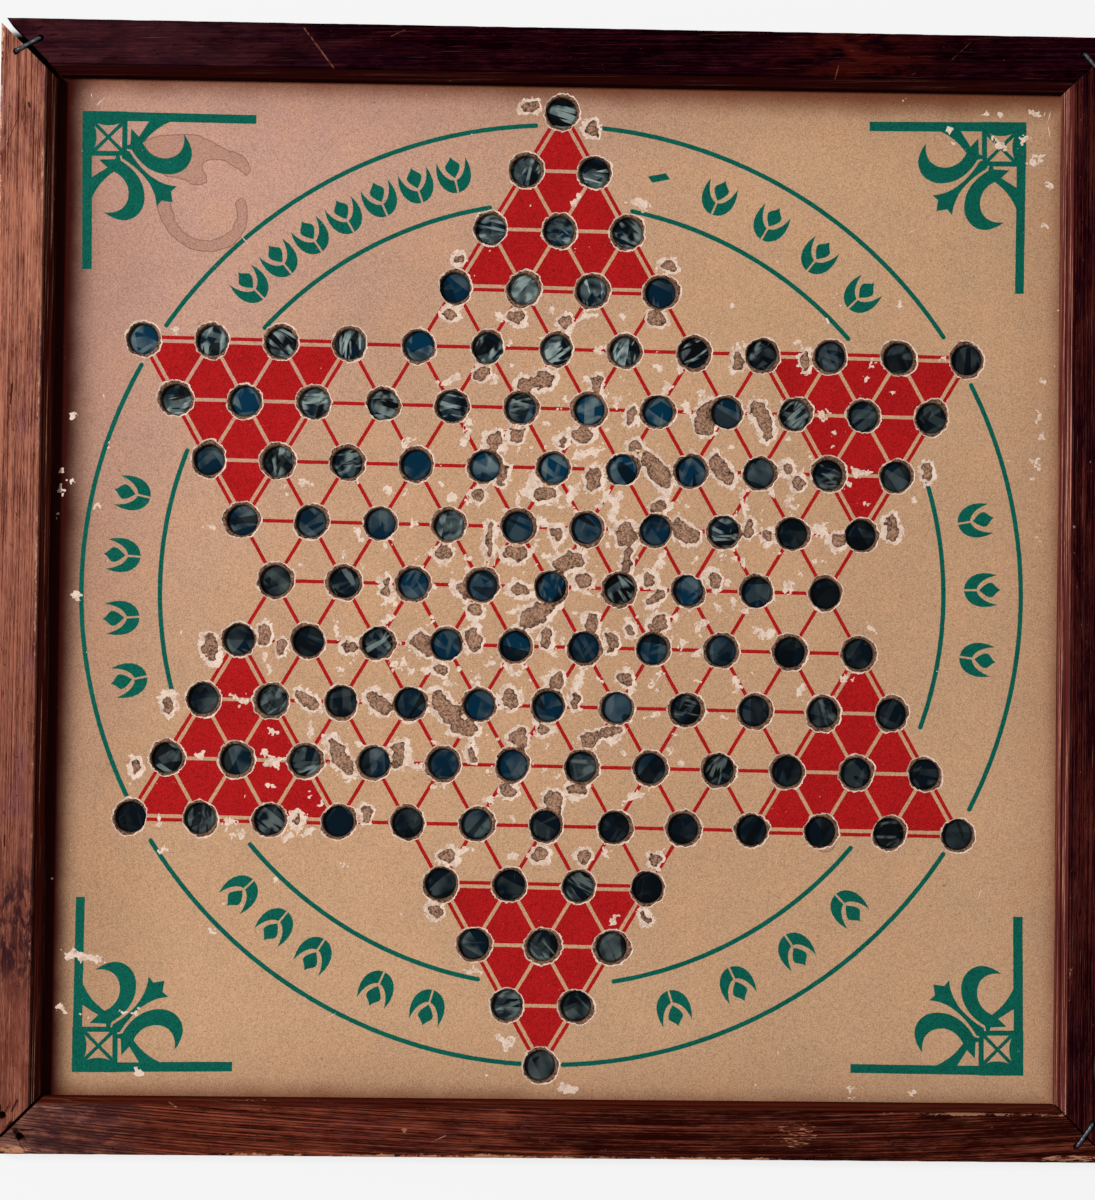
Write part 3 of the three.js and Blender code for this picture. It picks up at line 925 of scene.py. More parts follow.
def ink_finish(name, shade, darker):
    """Ink on paper: the paper's grain breaks it into specks."""
    shader = Shader(name)
    grain = card_grain(shader)
    thin = shader.noise(70, 3, 0.6, seed=2)
    base = shader.mix(grain.step(0.38, 0.56), darker, shade)
    base = shader.shaded(base, 0.8 + 0.4 * thin)
    worn = shader.noise(900, 3, 0.7, 0.6, seed=6).step(0.68, 0.76)
    base = shader.mix(worn * 0.5, base, board()[-1].torn)
    shader.fixed(specular_ior_level=0.05)
    return shader.finish(base, 0.66 + 0.2 * grain, grain, 0.1 * MM, 0.5)


# Operators for the card

class BOARD_OT_card(bpy.types.Operator):
    """The card's brown core with its punched holes, their edges crushed and ragged."""

    bl_idname = "board.card"
    bl_label = "Card core"

    sides = 44

    def execute(self, context):
        star, ink, _, _, colours = board()
        top = CARD_HIGH.z - ink.paper
        foot = CARD_LOW.z
        # From the card's top down: how much wider than its foot a hole is and how deep that lies
        profile = ((0.6 * MM, 0), (0.24 * MM, -0.3 * MM), (0.08 * MM, -0.9 * MM), (0, foot - top))
        holes = self.holes(star.hole / 2, [wider for wider, _ in profile])
        outline = sheet_outline()
        points, faces = [], []

        def add(corners, height):
            start = len(points)
            points.extend((x, y, height) for x, y in corners)
            return start

        for height, level in ((top, 0), (foot, -1)):
            extra = {"edges": tears()["core"], "inner": tears()["deep"]} if height == top else {}
            flat, triangles, counts = triangulated(
                sheet=[outline], holes=[rings[level] for rings in holes], **extra)
            kept = triangles[(counts["sheet"] == 1) & (counts["holes"] == 0)]
            if height == foot:
                kept = kept[:, ::-1]
            faces.extend((kept + add(flat, height)).tolist())
        for rings in holes:
            starts = [add(ring, top + drop) for ring, (_, drop) in zip(rings, profile)]
            for upper, lower in zip(starts, starts[1:]):
                for k in range(self.sides):
                    n = (k + 1) % self.sides
                    faces.append((upper + k, lower + k, lower + n, upper + n))
        low, high = add(outline, foot), add(outline, top)
        for k in range(4):
            n = (k + 1) % 4
            faces.append((low + k, low + n, high + n, high + k))
        mesh = mesh_of(points, faces, [core_finish(colours)])
        weld(mesh)
        # Marks torn edges, hole rims and hole walls for the core finish to darken; on the walls that is
        # painted shade
        rims = [*tears()["core"], *(rings[0] for rings in holes)]
        near = {self.rounded(point) for loop in rims for point in loop}
        marked(mesh, "near_edge", [
            float(vertex.co.z < top - 0.01 * MM or self.rounded(vertex.co) in near)
            for vertex in mesh.vertices])
        piece("card_core", mesh, "card", "face_card")
        return {"FINISHED"}

    @classmethod
    def holes(cls, foot_radius, profile):
        """For each hole its rings, from the top down, less ragged towards the foot."""
        draw = np.random.default_rng(3)
        angles = np.arange(cls.sides) * 2 * math.pi / cls.sides
        spokes = np.stack([np.cos(angles), np.sin(angles)], -1)
        holes = []
        for place in hole_places():
            ragged = draw.normal(0, 1, cls.sides)
            ragged = (np.roll(ragged, 1) + 2 * ragged + np.roll(ragged, -1)) / 4
            wobbles = [0.16 * MM * ragged * (1 - level / len(profile)) for level in range(len(profile))]
            holes.append([place + spokes * (foot_radius + wider + wobble)[:, None]
                          for wider, wobble in zip(profile, wobbles)])
        return holes

    @staticmethod
    def rounded(place):
        """A point's place to a thousandth of a millimetre, to find it again in the welded mesh."""
        return round(place[0] / MM, 3), round(place[1] / MM, 3)


class BOARD_OT_paper(bpy.types.Operator):
    """The printed paper on the card, torn round the holes and in worn patches."""

    bl_idname = "board.paper"
    bl_label = "Printed paper"

    def execute(self, context):
        _, ink, _, _, colours = board()
        torn = tears()
        spill, heart = spills()
        corners, triangles, counts = triangulated(
            sheet=[sheet_outline()], outer=torn["paper"], inner=torn["core"], spill=spill, heart=heart)
        high = CARD_HIGH.z
        low = high - ink.paper + 0.01 * MM
        bare = counts["inner"] % 2 == 1
        pale = (counts["outer"] % 2 == 1) & ~bare
        inside_core = np.zeros(len(corners), bool)
        inside_core[triangles[bare].ravel()] = True
        above = triangles[~bare]
        damp = 2 * (counts["spill"] > 0) + (counts["heart"] > 0)
        shades = np.where(pale, 1, np.choose(damp, (0, 0, 3, 2)))[~bare]
        count = len(corners)
        upper = np.where(inside_core, np.arange(count) + count, np.arange(count))
        faces = upper[above].tolist() + (above[:, ::-1] + count).tolist()
        rim = [(a, b) for a, b in walls_of(above) if not (inside_core[a] and inside_core[b])]
        faces += [(a, b + count, b) if inside_core[b] else (a, a + count, b + count, b) for a, b in rim]
        indices = np.concatenate([shades, np.zeros(len(above) + len(rim), int)])
        materials = [paper_finish(colours, "card_paper", 0), torn_finish(colours),
                     paper_finish(colours, "card_damp", 0.26), paper_finish(colours, "card_tide", 0.7)]
        mesh = mesh_of(two_levels(corners, high, low), faces, materials, indices)
        with edited(mesh) as shape:
            loose = [vertex for vertex in shape.verts if not vertex.link_faces]
            bmesh.ops.delete(shape, geom=loose, context="VERTS")
        piece("printed_paper", mesh, "card")
        return {"FINISHED"}


def ink_slab(loops, material, windows=()):
    """Ink over the union of some loops, less some windows and less where the paper is torn."""
    corners, triangles, counts = triangulated(ink=loops, windows=windows, torn=tears()["paper"])
    kept = (counts["ink"] > 0) & (counts["windows"] == 0) & (counts["torn"] % 2 == 0)
    return slab(corners, triangles[kept], *ink_levels(), material)


def ink_levels():
    """The heights of the foot and the top of the ink, just clear of the paper."""
    low = CARD_HIGH.z + 0.004 * MM
    return low, low + board()[1].ink


class BOARD_OT_red(bpy.types.Operator):
    """The red print: cells and borders of the six arms and the lines of the lattice."""

    bl_idname = "board.red"
    bl_label = "Red print"

    def execute(self, context):
        star, ink, _, _, colours = board()
        rows = star.arm_rows
        line = ink.line / star.pitch
        loops, arms = [], {}
        holes = set(star_rows(rows))
        arm = [(index - (rows - 1 - level) / 2, (rows + 1 + level) * ROW)
               for level in range(rows - 1, -1, -1) for index in range(rows - level)]
        for number in range(6):
            c, s = math.cos(math.pi / 3 * number), math.sin(math.pi / 3 * number)
            for u, v in arm:
                arms[round(2 * (u * c - v * s)), round((u * s + v * c) / ROW)] = number
            loops += [np.array([star_place(u * c - v * s, u * s + v * c) for u, v in outline])
                      for outline in (*self.cells(rows, line), *self.border(rows, line))]
        for half, row in holes:
            for step, rise in ((2, 0), (1, 1), (-1, 1)):
                other = (half + step, row + rise)
                if other in holes and arms.get((half, row), -1) != arms.get(other, -2):
                    first = np.array((half / 2, row * ROW))
                    last = np.array((other[0] / 2, other[1] * ROW))
                    aside = np.array((first[1] - last[1], last[0] - first[0])) * line / 2
                    sides = (first + aside, first - aside, last - aside, last + aside)
                    loops.append(np.array([star_place(*corner) for corner in sides]))
        loops = [roughened(anticlockwise(loop), 1.6 * MM, 0.045 * MM, n) for n, loop in enumerate(loops)]
        material = ink_finish("ink_red", colours.red, screen(136, 12, 14))
        piece("print_red", ink_slab(loops, material), "card")
        return {"FINISHED"}

    @classmethod
    def cells(cls, rows, line):
        """The triangles between the holes of the top arm, from the tip down."""
        half = line / 2
        for level in range(1, rows):
            high = (2 * rows + 1 - level) * ROW
            low = high - ROW
            for cell in range(2 * level - 1):
                middle = (cell - level + 1) / 2
                if cell % 2 == 0:
                    left = line if cell == 0 else half
                    right = line if cell == 2 * level - 2 else half
                    foot = line if level == rows - 1 else half
                    yield cls.inset(
                        ((middle, high), (middle - 0.5, low), (middle + 0.5, low)), (left, foot, right))
                else:
                    yield cls.inset(
                        ((middle, low), (middle + 0.5, high), (middle - 0.5, high)), (half, half, half))

    @staticmethod
    def inset(corners, insets):
        """A triangle with each side drawn in by its own amount."""
        corners = [np.array(corner) for corner in corners]
        shifted = []
        for start, end, amount in zip(corners, corners[1:] + corners[:1], insets):
            along = (end - start) / np.hypot(*(end - start))
            shifted.append((start + np.array((-along[1], along[0])) * amount, along))
        drawn = []
        for (p, d), (q, e) in zip(shifted, shifted[1:] + shifted[:1]):
            cross = d[0] * e[1] - d[1] * e[0]
            drawn.append(p + d * ((q - p)[0] * e[1] - (q - p)[1] * e[0]) / cross)
        return drawn

    @staticmethod
    def border(rows, line):
        """The three stripes outside the triangle through an arm's outermost holes."""
        tip = np.array((0, 2 * rows * ROW))
        half = (rows - 1) / 2
        left = np.array((-half, (rows + 1) * ROW))
        right = np.array((half, (rows + 1) * ROW))
        middle = (tip + left + right) / 3
        grow = 1 + line / (np.hypot(*(left - middle)) / 2)
        for start, end in ((tip, left), (left, right), (right, tip)):
            yield [start, end, middle + (end - middle) * grow, middle + (start - middle) * grow]


class BOARD_OT_green(bpy.types.Operator):
    """The green print: two broken rings, four corner ornaments and the sprigs between the rings."""

    bl_idname = "board.green"
    bl_label = "Green print"

    # Ends of the rings' arcs, in degrees anticlockwise from the right
    outer_arcs = ((33.7, 84.5), (92.5, 145.7), (151.4, 208.6), (212.0, 266.4), (271.6, 326.7),
                  (-27.0, 26.9))
    inner_arcs = ((41.2, 78.7), (99.7, 137.8), (159.1, 195.0), (220.1, 259.4), (279.3, 319.9),
                  (-19.6, 16.9))
    # Rows of sprigs: the angle of the first, the step to the next and how many, in degrees
    sprig_rows = ((134.9, -5.2, 7), (67.7, -7.75, 4), (10.2, -9.3, 3), (-46.4, -9.0, 4),
                  (253.6, -7.2, 2), (237.0, -6.4, 3), (192.0, -8.3, 4))
    dash_angle = 76.1

    def execute(self, context):
        _, ink, _, _, colours = board()
        material = ink_finish("ink_green", colours.green, screen(6, 66, 56))
        loops, windows = [], []
        for radius, arcs in ((ink.outer_ring, self.outer_arcs), (ink.inner_ring, self.inner_arcs)):
            loops.extend(self.arc(radius, ink.ring_line, *arc) for arc in arcs)
        solid, open_parts = self.corner(ink)
        for quarter in range(4):
            for target, outlines in ((loops, solid), (windows, open_parts)):
                target.extend(self.quartered(outline, quarter, ink) for outline in outlines)
        middle_ring = (ink.outer_ring + ink.inner_ring) / 2
        loops.append(self.dash(middle_ring))
        loops = [roughened(anticlockwise(print_place(loop)), 2.2 * MM, 0.04 * MM, 200 + n)
                 for n, loop in enumerate(loops)]
        windows = [print_place(window) for window in windows]
        flat = ink_slab(loops, material, windows)
        sprigs = self.sprigs(middle_ring, material)
        piece("print_green", joined([flat, *sprigs]), "card")
        return {"FINISHED"}

    @staticmethod
    def arc(radius, width, start, end):
        """One arc of a ring, with rounded ends."""
        steps = max(6, round(abs(end - start)))
        angles = np.radians(np.linspace(start, end, steps))
        outward = np.stack([np.cos(angles), np.sin(angles)], -1)
        bend = np.linspace(0, math.pi, 6)[1:-1]
        caps = []
        for angle, forward in ((angles[-1], 1), (angles[0], -1)):
            out = np.array((math.cos(angle), math.sin(angle)))
            on = np.array((-out[1], out[0])) * forward
            caps.append([out * radius + (out * math.cos(b) * forward + on * math.sin(b)) * width / 2
                         for b in bend])
        return np.vstack([outward * (radius + width / 2), caps[0],
                          outward[::-1] * (radius - width / 2), caps[1]])

    @staticmethod
    def quartered(outline, quarter, ink):
        """An outline of the top left corner, measured from its outer corner, at any corner."""
        half = np.array((ink.bracket_span, ink.bracket_height)) / 2
        wide, high = half if quarter % 2 == 0 else half[::-1]
        return turned_square(np.stack([outline[:, 0] - wide, high - outline[:, 1]], -1), -quarter)

    @staticmethod
    def corner(ink):
        """Outlines of the ornament in a corner and of the windows in it.

        The first coordinate runs along the long arm and the second along the short one.
        """
        arm = ink.arm_line / MM
        long, short = ink.long_arm / MM, ink.short_arm / MM
        long_arm = np.array([(0, 0), (long, 0.9), (long, arm + 0.5), (30, arm), (0, arm)])
        short_arm = np.array([(0, 0), (arm, 0), (arm + 0.4, short), (0.5, short)])
        block = np.array([(0, 0), (18.1, 0), (18.1, 18.1), (0, 18.1)])
        leaf = bezier((38.5, 3), ((32, 5), (27.8, 8.6), (24.7, 12.9)), ((26.3, 16.8), (30, 19), (33.5, 19)),
                      ((38.6, 19), (42.2, 15.4), (41.2, 9)), ((42.8, 11.2), (44.4, 14), (44.5, 17)),
                      ((44.4, 22), (40.4, 25.4), (35.5, 25.5)), ((28.6, 25.6), (23.6, 21.6), (20.1, 15.7)),
                      (17.8, 15.2), (17.8, 3))
        tulip = bezier((16.2, 19.2), ((25, 24.5), (30, 31), (30.4, 38.6)), (32.4, 36.2), (36.9, 36.9),
                       (36.2, 32.4), (38.6, 30.4), ((31, 30), (24.5, 25), (19.2, 16.2)), (15.5, 15.5))
        spike = np.array([(18.3, arm), (27, arm), (23, 10.3), (19.8, 6.9), (19.5, 13.4), (18.3, 13.7)])
        low, high, bow = 4.9, 16.2, 1.2
        middle = (low + high) / 2
        windows = [spike, spike[:, ::-1]]
        for side in range(4):
            sag = low + (bow if side < 2 else 0)
            pane = bezier((low + 1.1, low), ((middle - 2, sag), (middle + 2, sag), (high - 1.1, low)),
                          (middle, middle - 0.95)) - middle
            windows.append(turned_square(pane, -side) + middle)
        solid = [long_arm, short_arm, block, leaf, leaf[:, ::-1], tulip]
        return [part * MM for part in solid], [part * MM for part in windows]

    @classmethod
    def dash(cls, radius):
        """A short slanted stroke between two rows of sprigs."""
        angle = math.radians(cls.dash_angle)
        out = np.array((math.cos(angle), math.sin(angle)))
        on = np.array((out[1], -out[0]))
        stroke = ((-4.6, -0.6), (-2.2, -2.6), (4.6, 0.6), (2.2, 2.6))
        return np.array([out * (radius + b * MM) + on * a * MM for a, b in stroke])

    def sprigs(self, radius, material):
        """Rows of small leaf sprigs, each upright on the ring."""
        leaf = MM * bezier(
            (0.4, -7.4), ((5.2, -7), (8.8, -1.6), (6, 6.4)), ((5.2, 2), (3.4, -1.4), (0.4, -2.2)), steps=7)
        heart = MM * bezier(
            (0, -1.2), ((1.8, 0.6), (3.4, 2.6), (3, 4)), ((2.4, 5.2), (0.8, 5.8), (0, 7.6)),
            ((-0.8, 5.8), (-2.4, 5.2), (-3, 4)), ((-3.4, 2.6), (-1.8, 0.6), (0, -1.2)), steps=4)[:-1]
        corners, triangles, counts = triangulated(ink=[leaf, leaf * (-1, 1), heart])
        sprig = slab(corners, triangles[counts["ink"] > 0], *ink_levels(), material)
        tree = Growth("sprig_row", radius=0.175, first_angle=0.0, step=0.1, count=3)
        index = tree.value("GeometryNodeInputIndex")
        angle = tree.maths("MULTIPLY_ADD", index, tree.given("step"), tree.given("first_angle"))
        swung = tree.value("ShaderNodeVectorRotate", {"rotation_type": "Z_AXIS"},
                           {"Vector": tree.vector(tree.given("radius")), "Angle": angle})
        points = tree.value("GeometryNodePoints", None, {"Count": tree.given("count"), "Position": swung})
        upright = tree.vector(0, 0, angle - math.pi / 2)
        tree.end(tree.placed(points, tree.given("geometry"), upright))
        for first, step, count in self.sprig_rows:
            mesh = tree.grown(sprig, radius=radius, first_angle=math.radians(first),
                              step=math.radians(step), count=count, material=material)
            for vertex in mesh.vertices:
                vertex.co.x, vertex.co.y = print_place([vertex.co.xy])[0]
            yield mesh


# Operators for the sheets behind

def hole_grid(shader):
    """The distance to the middle of the nearest hole and three random values of that hole."""
    star = board()[0]
    c, s = math.cos(star.turned), math.sin(star.turned)
    x, y = shader.x - star.shift_x, shader.y - star.shift_y
    right, up = (x * c + y * s) / star.pitch, (y * c - x * s) / star.pitch
    beside, above = right.maths("PINGPONG", 0.5), up.maths("PINGPONG", ROW)
    even = (beside * beside + above * above) ** 0.5
    odd = ((0.5 - beside) ** 2 + (ROW - above) ** 2) ** 0.5
    nearer = odd.maths("LESS_THAN", even)
    rows = up / (2 * ROW)
    name = shader.vector(*(
        (place.maths("FLOOR") + 0.5) * nearer + place.maths("ROUND") * (1 - nearer)
        for place in (right, rows)))
    random = shader.value(
        "ShaderNodeTexWhiteNoise", {"noise_dimensions": "2D"}, {"Vector": name}, output="Color")
    return even.maths("MINIMUM", odd) * star.pitch, *shader.axes(random)


def liner_finish(colours):
    """Glossy dark blue foil with painted light and shade: lighter and darker blue by region and hole, soft
    painted reflections in bands that cross another way behind each hole, painted shade in its folds and round
    each hole's edge.
    """
    shader = Shader("glazed_foil")
    away, pick, spin, light = hole_grid(shader)
    wander = (shader.noise(9, 2, 0.5, seed=9) - 0.5) * 0.1
    # Regions of the board where the painted reflections and the lighter blue are stronger or weaker
    top = (shader.y + wander - 0.3 * shader.x).step(0.11, 0.15)
    heart = ((shader.x * shader.x + shader.y * shader.y) ** 0.5 + wander * 0.5).step(0.12, 0.05)
    upper = (shader.y + wander * 0.5).step(0.02, 0.07) * (shader.x + wander).step(0.1, 0.0)
    low_right = (shader.x - shader.y + wander).step(0.04, 0.16)
    foot = (shader.y + wander * 0.3).step(-0.11, -0.14)
    reflecting_hole = (pick + 0.3 * upper - 0.22 * heart - 0.1 * top + 0.12 * foot).step(0.62, 0.68)
    blue = (top * 0.55 + heart * 0.6 + upper * 0.6 - low_right * 0.3 + 0.5 * (light - 0.4)).clamp()
    pale = (0.45 + 0.5 * upper - 0.25 * low_right + 0.3 * foot).clamp() * (0.45 + 0.7 * light)
    base = shader.mix(blue * (1 - reflecting_hole * 0.85), colours.liner_dark, colours.liner_blue)

    def bands(turned, width, run, number, detail=1):
        angle = turned * math.pi
        along = shader.x * angle.maths("COSINE") + shader.y * angle.maths("SINE")
        aside = shader.y * angle.maths("COSINE") - shader.x * angle.maths("SINE")
        place = shader.vector(along / (width * MM), aside / (run * MM), (pick + light + spin) * 15)
        return shader.noise(1, detail, 0.45, 0.15, place, seed=number)

    turned = spin * 1.3 + 0.1
    # Soft pale bands: painted reflections
    for number, (share, width, start, much) in enumerate(
            ((0.0, 5.2, 0.5, 0.34), (0.36, 6.4, 0.53, 0.26), (0.62, 3.4, 0.57, 0.3))):
        band = bands(turned + share, width, 30, number).step(start, start + 0.012)
        fade = bands(turned + share, 9, 7, number + 3).step(0.34, 0.62)
        base = shader.mix(band * fade * pale * much, base, colours.liner_streak)
    # Dark bands: painted shade in the foil's folds
    fold_shade = bands(light * 2 + pick, 6.0, 30, 6, 0).step(0.56, 0.575)
    base = shader.mix(fold_shade * (0.5 + 0.5 * pick), base, (0.0008, 0.0015, 0.002))
    # Narrow bright streaks: painted reflections
    for number, (share, width) in enumerate(((0.05, 2.5), (0.17, 3.2))):
        streak = bands(turned + share, width, 26, number + 10, 2).step(0.54, 0.57)
        fade = bands(turned + share, 5, 5, number + 14).step(0.4, 0.6)
        base = shader.mix(reflecting_hole * streak * fade * pale, base, shader.shaded(colours.liner_streak, 1.25))
    # Painted shade towards each hole's edge
    base = shader.shaded(base, 1.0 - 0.85 * away.step(4.9 * MM, 6.5 * MM))
    shader.fixed(specular_ior_level=0.03)
    return shader.finish(base, 0.25 + 0.1 * pick)


def board_finish(colours):
    """Plain brown back board: fibres, specks and a few damp marks."""
    shader = Shader("back_board_fibre")
    fibres = shader.noise(1, 4, 0.7, 0.5, shader.vector(shader.x * 260, shader.y * 900))
    cloud = shader.noise(14, 4, 0.6, 0.3, seed=1)
    specks = shader.noise(700, 1, 0.5, seed=2).step(0.68, 0.75)
    damp = shader.noise(11, 4, 0.55, 0.5, seed=5)
    tide = abs(damp - 0.56).step(0.014, 0) * 0.35 + damp.step(0.555, 0.57) * 0.2
    tone = 0.55 + 0.7 * fibres + 0.4 * (cloud - 0.5) - 0.3 * specks
    base = shader.mix(tide, colours.back, screen(92, 66, 44))
    shader.fixed(specular_ior_level=0.2)
    return shader.finish(shader.shaded(base, tone), 0.9, fibres, 0.15 * MM, 0.5)


class BOARD_OT_sheets(bpy.types.Operator):
    """The finishes of the glazed liner and the back board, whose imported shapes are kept."""

    bl_idname = "board.sheets"
    bl_label = "Liner and back board"

    def execute(self, context):
        colours = board()[-1]
        for node, material in (("glazed_liner", liner_finish(colours)),
                               ("back_board", board_finish(colours))):
            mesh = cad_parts[node].data
            mesh.materials.clear()
            mesh.materials.append(material)
        return {"FINISHED"}


# Operators for the frame

# Each rail: its quarter turns from the top rail; the colours of its light and dark grain, of
# its ledge and of the wood where it is rubbed; how much of it is rubbed in all, then how much
# and from where to where along the rail at its outer arris and at the arris over the ledge;
# how strong its growth rings are, how far apart, how far they slant and bow; the share of long
# grain; the tone between dark and light grain and how soft it is; how violet it turns; how
# pale the lines on the ledge are; where the wood fades, to what colour and how much; the middle,
# half length, colour and strength of a warm glow; a dark stain's middle, half length and
# strength; how much darker its right end is; how far its face is wider than the others'.
# Scratches and gouges are ends and half width in millimetres, worn patches a middle, half
# lengths and the share of the grain that is left
# The ledge colours are partly painted light and shade: darkest on the top and left rails, whose ledges lie in
# shade, and lightest on the right rail, whose ledge faces the lamp
RAILS = {
    "top": {
        "quarter": 0, "light": screen(66, 18, 26), "dark": screen(9, 0, 4), "ledge": screen(36, 7, 7),
        "worn": screen(150, 88, 66), "rubbed": 0.3, "outer": (0.95, -0.3, -0.03), "inner": (0.6, -0.3, -0.12),
        "rings": 0.3, "spacing": 1.5 * MM, "slant": 0.02, "long": 0.3, "level": 0.565, "soft": 0.11,
        "violet": 0.7, "lines": 0.25, "fade": (-0.06, -0.17, screen(70, 33, 36), 0.6),
        "glow": (0.121, 0.045, screen(96, 28, 10), 0.32), "stain": (-0.17, 0.055, 0.6),
        "scratches": ((-105.5, 226.8, -93, 210.3, 0.3), (158.1, 218.1, 165.8, 225.4, 0.06),
                      (111.9, 214.9, 110.6, 209.4, 0.18), (-69.9, 223.6, -64, 226.6, 0.12))},
    "left": {
        "quarter": 1, "light": screen(188, 122, 98), "dark": screen(74, 26, 20), "ledge": screen(36, 8, 5),
        "worn": screen(212, 160, 130), "rubbed": 0.6, "outer": (0.95, -0.3, 0.3), "inner": (0.7, -0.3, 0.3),
        "rings": 0.2, "spacing": 1.0 * MM, "slant": -0.006, "long": 0.3, "level": 0.5, "soft": 0.112,
        "violet": 0.55, "lines": 0.28, "fade": (0.12, -0.18, screen(96, 46, 36), 0.85),
        "stain": (-0.138, 0.036, 0.9),
        "gouges": ((-215.7, 194.4, -215.2, 192, 0.5), (-220.3, 187, -224.2, 176.4, 0.14),
                   (-220.4, 80.4, -220.9, 71.9, 0.4), (-220.3, -101, -220.3, -105.8, 0.35),
                   (-215.6, -69.6, -215.6, -70.1, 0.35), (-215.7, -85, -215.7, -85.5, 0.35),
                   (-215.7, -211.6, -213.4, -206.7, 0.4), (-215.4, -215.3, -217.9, -218.3, 0.6))},
    "bottom": {
        "quarter": 2, "light": screen(146, 70, 50), "dark": screen(36, 7, 5), "ledge": screen(72, 25, 15),
        "worn": screen(196, 138, 104), "rubbed": 0.75, "outer": (0.85, -0.138, 0.1),
        "inner": (0.82, 0.12, 0.3), "rings": 0.9, "spacing": 1.3 * MM, "bow": 0.2, "long": 1.0,
        "level": 0.515, "soft": 0.105, "violet": 0.4, "lines": 0.2,
        "fade": (-0.150, -0.222, screen(166, 122, 106), 0.5),
        "stain": (-0.19, 0.035, 0.7), "darker": 0.055, "wider": 1.6 * MM,
        "scratches": ((-47.5, -222.2, -41.8, -219.6, 0.16), (-153.2, -207.4, -149.9, -209.3, 0.25)),
        "gouges": ((-214.8, -218.6, -210.5, -222.4, 0.95), (-212, -219, -206.8, -218.6, 0.3),
                   (-219.6, -214.6, -216.4, -219, 0.4)),
        "patches": ((98.9, -218, 11, 6.5, 0.55), (-215.5, -226.6, 8, 1.8, 0.42),
                    (209.8, -226.8, 13, 1.6, 0.46), (-58.5, -217.7, 1.4, 1.0, 0.46))},
    "right": {
        "quarter": 3, "light": screen(88, 36, 28), "dark": screen(20, 1, 7), "ledge": screen(98, 42, 38),
        "worn": screen(196, 138, 116), "rubbed": 0.3, "outer": (0.95, -0.3, 0.3), "inner": (0.6, -0.3, 0.3),
        "rings": 0.5, "spacing": 2.4 * MM, "long": 0.7, "level": 0.535, "soft": 0.095,
        "violet": 0.7, "lines": 1.0},
}
# What a rail has where its entry says nothing
PLAIN_RAIL = {"slant": 0, "bow": 0, "darker": 0, "wider": 0, "fade": None, "glow": None, "stain": None,
              "scratches": (), "gouges": (), "patches": ()}


